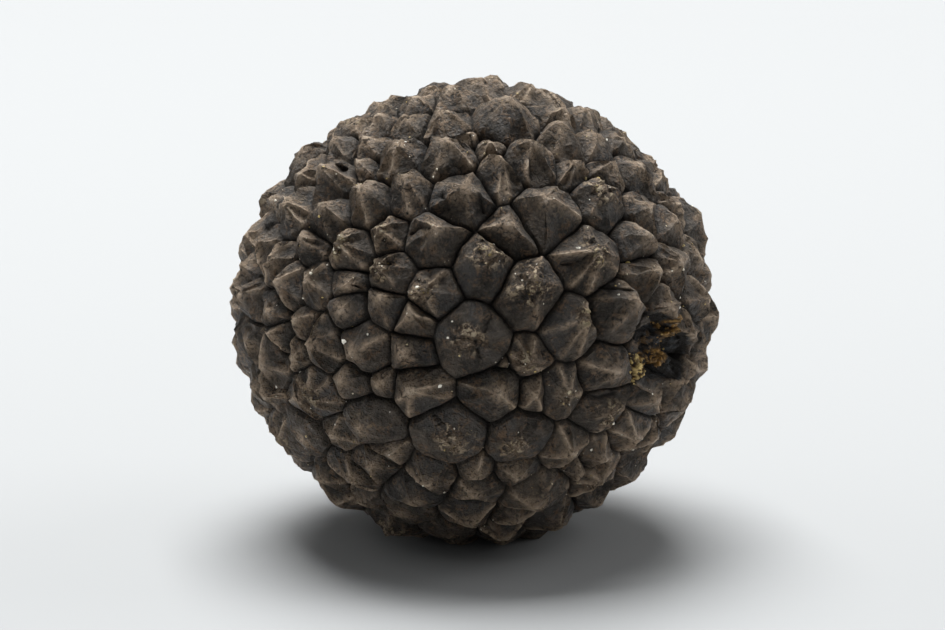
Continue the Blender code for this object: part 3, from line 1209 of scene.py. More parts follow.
@dataclass(frozen=True)
class Scatter:
    """Small hard bits sunk in the rind: how many, how big, how lumpy and where.

    Clumps have a longitude, a latitude, a spread and a hue from 0 to 1; placed bits have a radius
    in place of the spread.  Without clumps the bits lie everywhere, most of them along the crests.
    """

    name: str
    count: int
    radius: tuple[float, float]
    sink: float
    roundness: int
    seed: int
    wound_range: tuple[float, float]
    stretch: tuple[float, float] = (0.6, 1.3)
    knobs: tuple[float, float] = (-0.30, 0.22)
    small_bias: float = 2.2
    off_crest: float = 0.12
    floor_gap: float = 0.3 * MM
    clumps: tuple[tuple[float, float, float, float], ...] = ()
    hue_spread: float = 0.22
    placed: tuple[tuple[float, float, float, float], ...] = ()

    def build(self, rind: bpy.types.Object, body: Body) -> bpy.types.Object:
        """Model the bits as one piece.

        Args:
            rind: The finished skin that they sit in.
            body: The body under it.

        Returns:
            The piece.
        """
        rng = np.random.default_rng(self.seed)
        points = read(rind.data.vertices, "co", 3).reshape(-1, 3)
        heads = unit(points - body.centre)
        hue_field = rng.random(len(points))
        chance = self._allowed(rind, points)
        if self.clumps:
            pulls = np.array([
                np.exp(-((np.linalg.norm(heads - heading(lon, lat), axis=1) * body.radius / spread) ** 2))
                for lon, lat, spread, _ in self.clumps
            ])
            chance = chance * pulls.sum(axis=0)
            middle_hues = np.array([hue for *_, hue in self.clumps])[pulls.argmax(axis=0)]
            hue_field = middle_hues + (hue_field - 0.5) * 2 * self.hue_spread
        else:
            chance = chance * (self.off_crest + read(rind.data.attributes["crest"].data, "value"))
        spots = list(rng.choice(len(points), self.count, replace=False, p=chance / chance.sum()))
        least, most = self.radius
        sizes = list(least + (most - least) * rng.random(self.count) ** self.small_bias)
        hues = list(hue_field[spots])
        for longitude, latitude, radius, hue in self.placed:
            spots.append((heads @ np.array(heading(longitude, latitude))).argmax())
            sizes.append(radius)
            hues.append(hue)
        net = bmesh.new()
        tint = net.verts.layers.float.new("hue")
        for spot, size, hue in zip(spots, sizes, hues):
            middle = Vector(points[spot]) - rind.data.vertices[int(spot)].normal * size * self.sink
            for vert in self._bit(net, middle, size, rng):
                vert[tint] = hue
        bmesh.ops.recalc_face_normals(net, faces=net.faces)
        piece = stand(self.name, mesh_of(self.name, net))
        LOG.info("%s: %d bits, %d faces", self.name, len(spots), len(piece.data.polygons))
        return piece

    def _allowed(self, rind: bpy.types.Object, points: np.ndarray) -> np.ndarray:
        """Say where bits may lie: where the wound is in range, off the insect hole and off the floor.

        Args:
            rind: The finished skin.
            points: Its points.

        Returns:
            One yes or no for each point.
        """
        wound, hole = (read(rind.data.attributes[name].data, "value") for name in ("wound", "hole"))
        low, high = self.wound_range
        return (wound >= low) & (wound <= high) & (hole <= 0) & (points[:, 2] > self.floor_gap)

    def _bit(
        self, net: bmesh.types.BMesh, middle: Vector, size: float, rng: np.random.Generator
    ) -> list[bmesh.types.BMVert]:
        """Add one lumpy, stretched and turned bit.

        Args:
            net: The mesh of the bits.
            middle: The middle of the bit.
            size: Its radius.
            rng: The generator to draw from.

        Returns:
            Its vertices.
        """
        turn = Vector(rng.normal(size=3)).to_track_quat("Z", "Y").to_matrix().to_4x4()
        shape = Matrix.Diagonal((*rng.uniform(*self.stretch, 3), 1))
        matrix = Matrix.Translation(middle) @ turn @ shape
        bit = bmesh.ops.create_icosphere(net, subdivisions=self.roundness, radius=size, matrix=matrix)
        for vert in bit["verts"]:
            vert.co += (vert.co - middle) * rng.uniform(*self.knobs)
        return bit["verts"]


@dataclass(frozen=True)
class Ramp:
    """Where a mask starts and ends its ramp, and how strong it gets."""

    low: float
    high: float
    share: float = 1.0


@dataclass(frozen=True)
class Graph:
    """A node tree being wired."""

    tree: bpy.types.NodeTree

    def add(self, kind: str, inputs: dict | None = None, **options: object) -> bpy.types.Node:
        """Add a node.

        Args:
            kind: The node's type.
            inputs: Sockets to link or values to set, by input name or number.
            **options: The node's own settings.

        Returns:
            The node.
        """
        node = self.tree.nodes.new(kind)
        for name, value in options.items():
            setattr(node, name, value)
        for name, value in (inputs or {}).items():
            if isinstance(value, Socket):
                self.tree.links.new(value, node.inputs[name])
            else:
                node.inputs[name].default_value = value
        return node

    def use(self, group: bpy.types.NodeTree, **inputs: object) -> bpy.types.bpy_prop_collection:
        """Return the outputs of a node group that is fed with the inputs."""
        return self.add("ShaderNodeGroup", inputs, node_tree=group).outputs

    def attribute(self, name: str) -> Socket:
        """Return the value of an attribute."""
        return self.add("ShaderNodeAttribute", attribute_name=name).outputs["Fac"]

    def place(self) -> Socket:
        """Return the place on the object."""
        return self.add("ShaderNodeTexCoord").outputs["Object"]

    def noise(
        self, vector: Socket, scale: object, detail: float, warp: object = 0.0, rough: float = 0.62
    ) -> Socket:
        """Make smooth noise.

        Args:
            vector: Where to sample it.
            scale: How many of its swells fit in one unit of length.
            detail: How many finer swells ride on them.
            warp: How much the noise bends itself.
            rough: How strong the finer swells are.

        Returns:
            Values from 0 to 1.
        """
        inputs = {"Vector": vector, "Scale": scale, "Detail": detail, "Distortion": warp, "Roughness": rough}
        return self.add("ShaderNodeTexNoise", inputs).outputs["Fac"]

    def stretch(self, vector: Socket, scale: tuple[float, float, float]) -> Socket:
        """Return a vector scaled along each axis."""
        return self.add("ShaderNodeMapping", {"Vector": vector, "Scale": scale}).outputs["Vector"]

    def math(self, operation: str, *values: object) -> Socket:
        """Return the result of one operation on numbers."""
        return self.add("ShaderNodeMath", dict(enumerate(values)), operation=operation).outputs[0]

    def times(self, *values: object) -> Socket:
        """Return the product of two or more values."""
        return reduce(partial(self.math, "MULTIPLY"), values)

    def plus(self, *values: object) -> Socket:
        """Return the sum of two or more values."""
        return reduce(partial(self.math, "ADD"), values)

    def highest(self, *values: object) -> Socket:
        """Return the highest of two or more values."""
        return reduce(partial(self.math, "MAXIMUM"), values)

    def rest(self, value: object, whole: float = 1.0) -> Socket:
        """Return what a value leaves of the whole."""
        return self.math("SUBTRACT", whole, value)

    def swing(self, noise_value: Socket, share: float) -> Socket:
        """Return a noise centred on zero and made stronger or weaker."""
        return self.times(self.math("SUBTRACT", noise_value, 0.5), share)

    def ramp(self, value: Socket, ramp: Ramp) -> Socket:
        """Return a smooth ramp from 0 at its low end to its share at its high end."""
        inputs = {"Value": value, "From Min": ramp.low, "From Max": ramp.high, "To Max": ramp.share}
        return self.add("ShaderNodeMapRange", inputs, interpolation_type="SMOOTHSTEP").outputs["Result"]

    def mix(self, factor: object, first: object, second: object) -> Socket:
        """Return a colour mixed from two."""
        return self.add("ShaderNodeMix", {0: factor, 6: first, 7: second}, data_type="RGBA").outputs[2]

    def bump(self, height: Socket, depth: float, normal: Socket | None = None) -> Socket:
        """Raise a normal by a height map.

        Args:
            height: The height map.
            depth: How deep it goes.
            normal: The normal to raise, the surface's own without it.

        Returns:
            The normal.
        """
        inputs = {"Height": height, "Distance": depth, "Strength": 1.0}
        if normal is not None:
            inputs["Normal"] = normal
        return self.add("ShaderNodeBump", inputs).outputs["Normal"]


def rgba(red: float, green: float, blue: float) -> Colour:
    """Return an opaque colour."""
    return (red, green, blue, 1.0)


def blank(name: str) -> tuple[bpy.types.Material, Graph, bpy.types.Node]:
    """Start a material.

    Args:
        name: The material's name.

    Returns:
        The material, its graph and its surface.
    """
    material = bpy.data.materials.new(name)
    material.use_nodes = True
    return material, Graph(material.node_tree), material.node_tree.nodes["Principled BSDF"]


@dataclass(frozen=True)
class Effects:
    """Shader effects that more than one finish uses, each built once as a node group."""

    grain: bpy.types.NodeTree
    dust: bpy.types.NodeTree

    mottle_detail: ClassVar[float] = 6.0
    fleck_scale: ClassVar[float] = 2.9
    fleck_detail: ClassVar[float] = 4.0
    fleck_warp: ClassVar[float] = 0.6
    fleck_rough: ClassVar[float] = 0.60
    mottle_share: ClassVar[float] = 0.7
    fleck_share: ClassVar[float] = 0.3
    speck_detail: ClassVar[float] = 2.0
    speck_rough: ClassVar[float] = 0.5
    bare_level: ClassVar[float] = 0.86
    cover_pull: ClassVar[float] = 0.40
    speck_edge: ClassVar[Ramp] = Ramp(0.0, 0.06)

    @classmethod
    def build(cls) -> "Effects":
        """Return the effects, newly built."""
        return cls(grain=cls._grain(), dust=cls._dust())

    @staticmethod
    def _group(
        name: str, inputs: dict[str, str], outputs: dict[str, str]
    ) -> tuple[Graph, dict[str, Socket]]:
        """Start a node group.

        Args:
            name: The group's name.
            inputs: The kind of each input socket.
            outputs: The kind of each output socket.

        Returns:
            The graph and the incoming sockets by name.
        """
        tree = bpy.data.node_groups.new(name, "ShaderNodeTree")
        for side, sockets in (("INPUT", inputs), ("OUTPUT", outputs)):
            for socket, kind in sockets.items():
                tree.interface.new_socket(socket, in_out=side, socket_type=f"NodeSocket{kind}")
        graph = Graph(tree)
        incoming = graph.add("NodeGroupInput")
        return graph, {socket: incoming.outputs[socket] for socket in inputs}

    @classmethod
    def _grain(cls) -> bpy.types.NodeTree:
        """Build uneven grain: soft mottle with finer flecks in it.

        Returns:
            A group that puts out the mottle, the flecks and a height.
        """
        graph, given = cls._group(
            "earthy_grain",
            {"Size": "Float", "Warp": "Float"},
            {"Mottle": "Float", "Fleck": "Float", "Height": "Float"},
        )
        place = graph.place()
        scale = graph.math("DIVIDE", 1.0, given["Size"])
        finer = graph.times(scale, cls.fleck_scale)
        mottle = graph.noise(place, scale, cls.mottle_detail, given["Warp"])
        fleck = graph.noise(place, finer, cls.fleck_detail, cls.fleck_warp, cls.fleck_rough)
        height = graph.plus(graph.times(mottle, cls.mottle_share), graph.times(fleck, cls.fleck_share))
        graph.add("NodeGroupOutput", {"Mottle": mottle, "Fleck": fleck, "Height": height})
        return graph.tree

    @classmethod
    def _dust(cls) -> bpy.types.NodeTree:
        """Build specks of dry dust over a colour; the more cover, the more specks show.

        Returns:
            A group that puts out the dusted colour.
        """
        graph, given = cls._group(
            "dry_dust",
            {"Color": "Color", "Dust": "Color", "Cover": "Float", "Size": "Float"},
            {"Color": "Color"},
        )
        scale = graph.math("DIVIDE", 1.0, given["Size"])
        specks = graph.noise(graph.place(), scale, cls.speck_detail, rough=cls.speck_rough)
        edge = graph.rest(graph.times(given["Cover"], cls.cover_pull), cls.bare_level)
        mask = graph.ramp(graph.math("SUBTRACT", specks, edge), cls.speck_edge)
        graph.add("NodeGroupOutput", {"Color": graph.mix(mask, given["Color"], given["Dust"])})
        return graph.tree


@dataclass(frozen=True)
class Maps:
    """The masks and noises that the rind's finish is mixed from, in their graph."""

    graph: Graph
    crest: Socket
    scar: Socket
    comb: Socket
    mottle: Socket
    fleck: Socket
    sheet: Socket
    blotch: Socket
    patch: Socket
    fibre: Socket
    line: Socket
    slit: Socket


@dataclass(frozen=True)
class RindFinish:
    """Dry dark rind: brown-grey facets, browner crests, near-black painted shade in the grooves, pale and
    ochre dust.
    """

    shade: Colour = rgba(0.013, 0.0113, 0.0091)
    body: Colour = rgba(0.066, 0.0525, 0.0395)
    # slate: tint of random facets, a painted faint bluish sheen
    slate: Colour = rgba(0.043, 0.042, 0.041)
    brown: Colour = rgba(0.124, 0.076, 0.042)
    tan: Colour = rgba(0.335, 0.250, 0.172)
    # ridge: paler core of the highest crests, part worn ridge and part painted highlight
    ridge: Colour = rgba(0.500, 0.410, 0.310)
    crust: Colour = rgba(0.520, 0.430, 0.300)
    straw: Colour = rgba(0.465, 0.380, 0.230)
    ochre: Colour = rgba(0.340, 0.250, 0.085)
    dust: Colour = rgba(0.450, 0.400, 0.300)
    # near-black painted shade for the grooves, the cracks, the hair slits, the insect hole and the pits
    # between crust chunks
    recess_shade: Colour = rgba(0.013, 0.011, 0.0088)
    # wound: near-black, part dark flesh and part painted shade in the cavity; the bluish wound colour below
    # is a painted sheen
    wound: Colour = rgba(0.012, 0.010, 0.008)
    wound_sheen: Colour = rgba(0.030, 0.034, 0.038)
    flesh_brown: Colour = rgba(0.070, 0.040, 0.014)
    flesh_orange: Colour = rgba(0.380, 0.220, 0.065)
    flesh_yellow: Colour = rgba(0.470, 0.350, 0.140)
    roughness: float = 0.80
    waxy: float = 0.50
    specular: float = 0.32
    # noises; fibres run from the tip of a wart to its grooves and lines run along them
    sheet_size: float = 0.9 * MM
    sheet_warp: float = 0.4
    blotch_size: float = 3.6 * MM
    blotch_detail: float = 3.0
    patch_size: float = 1.2 * MM
    patch_detail: float = 5.0
    patch_warp: float = 0.5
    fibre_stretch: tuple[float, float, float] = (4.5, 0.7, 1.0)
    fibre_detail: float = 4.0
    fibre_warp: float = 0.7
    line_stretch: tuple[float, float, float] = (0.5, 5.0, 1.0)
    line_detail: float = 3.0
    line_warp: float = 0.5
    combed: Ramp = Ramp(0.05, 0.8)
    # slits are fine hair cracks, sunk by a bump and darkened with painted shade
    slit_cell: float = 1.9 * MM
    slit_ragged: float = 0.10
    slit_edge: Ramp = Ramp(0.105, 0.055)
    slit_patch: Ramp = Ramp(0.58, 0.65)
    slit_shade: float = 0.85
    # uneven ground
    tone_share: float = 0.95
    blotch_share: float = 0.55
    mottle_share: float = 1.7
    fleck_share: float = 1.2
    lightness: Ramp = Ramp(0.22, 1.35)
    cool: Ramp = Ramp(0.68, 0.98, 0.6)
    # colours over the ground
    rust_patch: Ramp = Ramp(0.48, 0.64)
    rust_fleck: Ramp = Ramp(0.40, 0.58, 0.80)
    # painted top light: flecks turn tan towards the top of the truffle
    top_lit_fleck: Ramp = Ramp(0.44, 0.66, 0.08)
    streak_fibre: Ramp = Ramp(0.50, 0.66)
    streak_comb: float = 0.14
    streak_fleck: Ramp = Ramp(0.40, 0.60)
    crest_fleck: Ramp = Ramp(0.28, 0.54, 0.90)
    highlight_crest: Ramp = Ramp(0.66, 1.0)
    highlight_mottle: Ramp = Ramp(0.40, 0.58, 0.55)
    # crusts on the broken tips, from the ground between the chunks to their tops; the deepest pits get
    # painted shade
    chunk_lump: float = 0.7
    chunk_fleck: float = 2.4
    chunk_brown: Ramp = Ramp(-0.24, 0.10, 0.60)
    chunk_tan: Ramp = Ramp(0.04, 0.26, 0.85)
    chunk_pale: Ramp = Ramp(0.15, 0.36)
    chunk_pit_shade: Ramp = Ramp(-0.24, -0.50, 0.7)
    straw_blotch: Ramp = Ramp(0.46, 0.58)
    # dust
    pale_cover: Ramp = Ramp(0.42, 0.75, 0.46)
    pale_size: float = 0.26 * MM
    ochre_crest: float = 0.38
    ochre_scar: float = 0.52
    ochre_size: float = 0.38 * MM
    # the insect hole, the wound and its flesh; the hole is painted shade, the wound dark flesh with painted
    # shade and a painted bluish sheen
    hole_edge: Ramp = Ramp(0.1, 0.6)
    wound_edge: Ramp = Ramp(0.10, 0.45)
    wound_sheen_mottle: Ramp = Ramp(0.50, 0.64)
    orange_from: Ramp = Ramp(0.05, 0.55)
    yellow_from: Ramp = Ramp(0.55, 0.95)
    flesh_ragged: float = 0.9
    flesh_core: Ramp = Ramp(0.40, 0.95)
    flesh_edge: Ramp = Ramp(0.16, 0.42)
    # shine and bumps
    shine: Ramp = Ramp(0.40, 0.62)
    sheet_height: float = 0.44 * MM
    fleck_height: float = 0.22 * MM
    fibre_height: float = 0.05 * MM
    line_height: float = 0.06 * MM
    scar_height: float = 0.34 * MM
    slit_height: float = 0.12 * MM

    def make(self, effects: Effects) -> bpy.types.Material:
        """Wire the material.

        Args:
            effects: The shared effects.

        Returns:
            The rind's material.
        """
        material, graph, surface = blank("rind_dry")
        maps = self._maps(graph, effects)
        colour = self._crusts(maps, self._crests(maps, self._ground(maps)))
        pale = graph.ramp(maps.blotch, self.pale_cover)
        near_crest = graph.times(maps.crest, self.ochre_crest)
        warm = graph.highest(near_crest, graph.times(maps.scar, self.ochre_scar))
        for dust, cover, size in ((self.dust, pale, self.pale_size), (self.ochre, warm, self.ochre_size)):
            colour = graph.use(effects.dust, Color=colour, Dust=dust, Cover=cover, Size=size)["Color"]
        # painted shade in the grooves, the cracks, the hair slits and the insect hole
        painted_shade_mask = graph.highest(
            graph.attribute("recess_shade"),
            graph.attribute("crack"),
            graph.times(maps.slit, self.slit_shade),
            graph.ramp(graph.attribute("hole"), self.hole_edge),
        )
        colour = self._torn(maps, graph.mix(painted_shade_mask, colour, self.recess_shade))
        shine = graph.times(graph.ramp(maps.mottle, self.shine), graph.rest(painted_shade_mask))
        rough = graph.rest(graph.times(shine, self.roughness - self.waxy), self.roughness)
        graph.tree.links.new(colour, surface.inputs["Base Color"])
        graph.tree.links.new(rough, surface.inputs["Roughness"])
        graph.tree.links.new(self._bumps(maps), surface.inputs["Normal"])
        surface.inputs["Specular IOR Level"].default_value = self.specular
        return material

    def _maps(self, graph: Graph, effects: Effects) -> Maps:
        """Lay out the masks and the noises.

        Args:
            graph: The rind's graph.
            effects: The shared effects.

        Returns:
            The maps.
        """
        place = graph.place()
        grain = graph.add("ShaderNodeUVMap", uv_map="grain").outputs["UV"]
        sheet = graph.use(effects.grain, Size=self.sheet_size, Warp=self.sheet_warp)
        patch = graph.noise(place, 1 / self.patch_size, self.patch_detail, self.patch_warp)
        cells = {"Vector": place, "Scale": 1 / self.slit_cell}
        cell = graph.add("ShaderNodeTexVoronoi", cells, feature="DISTANCE_TO_EDGE").outputs["Distance"]
        crack = graph.ramp(graph.plus(cell, graph.times(sheet["Fleck"], self.slit_ragged)), self.slit_edge)
        fibres, lines = graph.stretch(grain, self.fibre_stretch), graph.stretch(grain, self.line_stretch)
        return Maps(
            graph=graph,
            crest=graph.attribute("crest"),
            scar=graph.attribute("scar"),
            comb=graph.ramp(graph.attribute("comb"), self.combed),
            mottle=sheet["Mottle"],
            fleck=sheet["Fleck"],
            sheet=sheet["Height"],
            blotch=graph.noise(place, 1 / self.blotch_size, self.blotch_detail),
            patch=patch,
            fibre=graph.noise(fibres, 1.0, self.fibre_detail, self.fibre_warp),
            line=graph.noise(lines, 1.0, self.line_detail, self.line_warp),
            slit=graph.times(crack, graph.ramp(patch, self.slit_patch)),
        )

    def _ground(self, maps: Maps) -> Socket:
        """Mix the uneven ground colour of the facets.

        Args:
            maps: The masks and noises.

        Returns:
            The colour.
        """
        graph = maps.graph
        value = graph.plus(
            graph.times(graph.attribute("tone"), self.tone_share),
            graph.times(maps.blotch, self.blotch_share),
            graph.swing(maps.mottle, self.mottle_share),
            graph.swing(maps.fleck, self.fleck_share),
        )
        colour = graph.mix(graph.ramp(value, self.lightness), self.shade, self.body)
        # random facets turn slate grey: a painted faint bluish sheen
        return graph.mix(graph.ramp(graph.attribute("cool"), self.cool), colour, self.slate)

    def _crests(self, maps: Maps, colour: Socket) -> Socket:
        """Lay rust, painted top light in flecks, streaks, the pale crests and their paler cores, part painted
        highlight, over the ground.

        Args:
            maps: The masks and noises.
            colour: The ground.

        Returns:
            The colour.
        """
        graph = maps.graph
        rust = graph.times(graph.ramp(maps.patch, self.rust_patch), graph.ramp(maps.fleck, self.rust_fleck))
        # painted top light: flecks mixed tan, more towards the top
        top_lit = graph.times(graph.attribute("painted_top_light"), graph.ramp(maps.fleck, self.top_lit_fleck))
        combed = graph.times(maps.comb, self.streak_comb)
        streak = graph.times(
            graph.ramp(maps.fibre, self.streak_fibre), combed, graph.ramp(maps.fleck, self.streak_fleck)
        )
        crest = graph.times(maps.crest, graph.ramp(maps.fleck, self.crest_fleck))
        # paler crest cores: part worn ridge, part painted highlight
        crest_highlight = graph.ramp(maps.crest, self.highlight_crest)
        ridge = graph.times(crest_highlight, graph.ramp(maps.mottle, self.highlight_mottle))
        layers = (
            (rust, self.brown), (top_lit, self.tan), (streak, self.tan), (crest, self.tan), (ridge, self.ridge)
        )
        for mask, layer in layers:
            colour = graph.mix(mask, colour, layer)
        return colour

    def _crusts(self, maps: Maps, colour: Socket) -> Socket:
        """Lay the crusts over the broken tips, with painted shade in the deepest pits between the chunks.

        Args:
            maps: The masks and noises.
            colour: What lies under them.

        Returns:
            The colour.
        """
        graph = maps.graph
        lumps = graph.times(graph.attribute("crust"), self.chunk_lump)
        chunk = graph.plus(lumps, graph.swing(maps.fleck, self.chunk_fleck))
        cream = graph.mix(graph.ramp(maps.blotch, self.straw_blotch), self.crust, self.straw)
        layers = (
            (self.chunk_brown, self.brown), (self.chunk_tan, self.tan), (self.chunk_pale, cream),
            (self.chunk_pit_shade, self.recess_shade),
        )
        for ramp, layer in layers:
            colour = graph.mix(graph.times(maps.scar, graph.ramp(chunk, ramp)), colour, layer)
        return colour

    def _torn(self, maps: Maps, colour: Socket) -> Socket:
        """Lay the wound and its torn flesh over the rind: the wound is near-black, part dark flesh and part
        painted shade, mottled with a painted bluish sheen.

        Args:
            maps: The masks and noises.
            colour: The rind.

        Returns:
            The colour.
        """
        graph = maps.graph
        # the wound's painted shade, mottled with a painted bluish sheen
        torn = graph.mix(graph.ramp(maps.mottle, self.wound_sheen_mottle), self.wound, self.wound_sheen)
        colour = graph.mix(graph.ramp(graph.attribute("wound"), self.wound_edge), colour, torn)
        ripe = graph.attribute("ripe")
        pulp = graph.mix(graph.ramp(ripe, self.orange_from), self.flesh_brown, self.flesh_orange)
        pulp = graph.mix(graph.ramp(ripe, self.yellow_from), pulp, self.flesh_yellow)
        whole = graph.plus(graph.attribute("flesh"), graph.swing(maps.fleck, self.flesh_ragged))
        pulp = graph.mix(graph.ramp(whole, self.flesh_core), self.flesh_brown, pulp)
        return graph.mix(graph.ramp(whole, self.flesh_edge), colour, pulp)

    def _bumps(self, maps: Maps) -> Socket:
        """Raise the fine bumps one over the other.

        Args:
            maps: The masks and noises.

        Returns:
            The normal.
        """
        graph = maps.graph
        normal = None
        for height, depth in (
            (maps.sheet, self.sheet_height),
            (maps.fleck, self.fleck_height),
            (graph.times(maps.fibre, maps.comb), self.fibre_height),
            (maps.line, self.line_height),
            (graph.times(maps.scar, maps.fleck), self.scar_height),
            (graph.rest(maps.slit), self.slit_height),
        ):
            normal = graph.bump(height, depth, normal)
        return normal


@dataclass(frozen=True)
class BitsFinish:
    """Hard bits whose colour runs through three hues, dusted with the last."""

    name: str
    first: Colour
    second: Colour
    third: Colour
    roughness: float
    grain_size: float
    dust_cover: float
    warp: float = 0.5
    second_from: Ramp = Ramp(0.0, 0.55)
    third_from: Ramp = Ramp(0.55, 1.0)
    bump_share: float = 0.4

    def make(self, effects: Effects) -> bpy.types.Material:
        """Wire the material.

        Args:
            effects: The shared effects.

        Returns:
            The bits' material.
        """
        material, graph, surface = blank(self.name)
        hue = graph.attribute("hue")
        height = graph.use(effects.grain, Size=self.grain_size, Warp=self.warp)["Height"]
        colour = graph.mix(graph.ramp(hue, self.second_from), self.first, self.second)
        colour = graph.mix(graph.ramp(hue, self.third_from), colour, self.third)
        dust = {"Dust": self.third, "Cover": self.dust_cover, "Size": self.grain_size}
        colour = graph.use(effects.dust, Color=colour, **dust)["Color"]
        normal = graph.bump(height, self.grain_size * self.bump_share)
        graph.tree.links.new(colour, surface.inputs["Base Color"])
        graph.tree.links.new(normal, surface.inputs["Normal"])
        surface.inputs["Roughness"].default_value = self.roughness
        return material


@dataclass(frozen=True)
class Softbox:
    """A square softbox: its name, place, side and power in watts."""

    name: str
    place: tuple[float, float, float]
    side: float
    power: float


@dataclass(frozen=True)
class Studio:
    """Pale floor, soft light from all round and above, and the camera."""

    target: Vector
    softboxes: tuple[Softbox, ...] = (
        Softbox("top_softbox", (-0.06, 0.22, 0.71), 0.50, 13.4),
        Softbox("left_softbox", (-0.66, 0.20, 0.42), 0.50, 0.7),
        Softbox("right_softbox", (0.66, 0.20, 0.42), 0.50, 2.0),
    )
    elevation: float = math.radians(15)
    distance: float = 0.60
    frame_height: float = 0.0545
    frame_aspect: float = 945 / 630
    sensor: float = 36.0
    near_clip: float = 0.01
    floor_radius: float = 3.0
    floor_sides: int = 96
    floor_fade: Ramp = Ramp(0.12, 0.6)
    floor_colour: Colour = rgba(0.345, 0.353, 0.357)
    floor_bounce: Colour = rgba(0.56, 0.56, 0.56)
    floor_roughness: float = 0.9
    floor_specular: float = 0.1
    ambient: float = 0.22
    haze: Colour = rgba(0.86, 0.875, 0.885)

    def build(self) -> None:
        """Set the floor, the lights, the surroundings and the camera."""
        self._floor()
        for softbox in self.softboxes:
            self._light(softbox)
        self._surroundings()
        self._camera()
        LOG.info("studio: floor, %d softboxes, camera", len(self.softboxes))

    def _floor(self) -> None:
        """Lay a wide floor that fades into the surroundings."""
        net = bmesh.new()
        bmesh.ops.create_circle(net, cap_ends=True, radius=self.floor_radius, segments=self.floor_sides)
        floor = stand("floor", mesh_of("floor", net))
        material, graph, surface = blank("floor_paper")
        seen = graph.add("ShaderNodeLightPath").outputs["Is Camera Ray"]
        paper = graph.mix(seen, self.floor_bounce, self.floor_colour)
        graph.tree.links.new(paper, surface.inputs["Base Color"])
        surface.inputs["Roughness"].default_value = self.floor_roughness
        surface.inputs["Specular IOR Level"].default_value = self.floor_specular
        reach = graph.add("ShaderNodeVectorMath", {0: graph.place()}, operation="LENGTH").outputs["Value"]
        clear = graph.add("ShaderNodeBsdfTransparent").outputs["BSDF"]
        fade = graph.ramp(reach, self.floor_fade)
        mixed = graph.add("ShaderNodeMixShader", {0: fade, 1: surface.outputs["BSDF"], 2: clear})
        output = graph.tree.nodes["Material Output"]
        graph.tree.links.new(mixed.outputs["Shader"], output.inputs["Surface"])
        floor.data.materials.append(material)

    def _light(self, softbox: Softbox) -> None:
        """Hang one softbox aimed at the truffle.

        Args:
            softbox: The softbox.
        """
        light = bpy.data.lights.new(softbox.name, "AREA")
        light.size = softbox.side
        light.energy = softbox.power
        lamp = stand(softbox.name, light)
        lamp.location = softbox.place
        lamp.rotation_euler = (self.target - lamp.location).to_track_quat("-Z", "Y").to_euler()

    def _surroundings(self) -> None:
        """Fill the surroundings with pale light."""
        world = bpy.data.worlds.new("pale_surroundings")
        world.use_nodes = True
        graph = Graph(world.node_tree)
        background = world.node_tree.nodes["Background"]
        background.inputs["Color"].default_value = self.haze
        seen = graph.add("ShaderNodeLightPath").outputs["Is Camera Ray"]
        strength = graph.add("ShaderNodeMapRange", {"Value": seen, "To Min": self.ambient, "To Max": 1.0})
        graph.tree.links.new(strength.outputs["Result"], background.inputs["Strength"])
        bpy.context.scene.world = world

    def _camera(self) -> None:
        """Aim a long lens at the truffle from a little above."""
        lens = bpy.data.cameras.new("camera")
        lens.sensor_width = self.sensor
        lens.lens = self.sensor * self.distance / (self.frame_height * self.frame_aspect)
        lens.clip_start = self.near_clip
        camera = stand("camera", lens)
        away = Vector((0, -math.cos(self.elevation), math.sin(self.elevation)))
        camera.location = self.target + away * self.distance
        camera.rotation_euler = (-away).to_track_quat("-Z", "Y").to_euler()
        bpy.context.scene.camera = camera


WOUND = Hollow(56.5, -7.5, 3.3 * MM, 3.1 * MM, 1.15 * MM, ragged=0.75, rim=0.25)
INSECT_HOLE = Hollow(-44.5, 38.5, 0.43 * MM, 0.43 * MM, 1.3 * MM, ragged=0.0, rim=0.35)

FLESH = (
    Flesh(59.0, -3.4, 1.0 * MM, 0.75 * MM, 0.55),
    Flesh(60.0, -1.2, 0.6 * MM, 0.35 * MM, 0.25),
    Flesh(52.0, -6.8, 0.9 * MM, 0.35 * MM, 0.12),
    Flesh(50.5, -9.6, 0.7 * MM, 0.40 * MM, 0.30),
    Flesh(58.8, -10.8, 0.9 * MM, 0.45 * MM, 0.42),
    Flesh(54.5, -12.6, 0.7 * MM, 0.40 * MM, 0.50),
    Flesh(47.4, -13.2, 1.3 * MM, 0.46 * MM, 0.95),
    Flesh(50.4, -12.4, 0.6 * MM, 0.35 * MM, 0.72),
)

CRACKS = (
    Crack(((4.4, -0.9), (3.5, -2.4), (3.0, -4.0))),
    Crack(((1.2, -8.3), (1.7, -10.6))),
    Crack(((-16, 20.3), (-13, 21.4), (-10.5, 20.4))),
    Crack(((33, 6.9), (36.5, 6.3), (40.5, 5.6))),
    Crack(((22.5, 12.4), (26.5, 13), (29.5, 14.3))),
    Crack(((1.8, 29.6), (3, 26.4))),
    Crack(((-8.2, 29.8), (-6.4, 26.8))),
    Crack(((13, 40), (14, 36)), 0.20 * MM),
    Crack(((17.5, 40), (18.2, 36)), 0.20 * MM),
    Crack(((-10.5, -25.5), (-8, -27.5))),
    Crack(((31, -20.8), (36, -21.4), (41, -20.4)), 0.20 * MM),
)

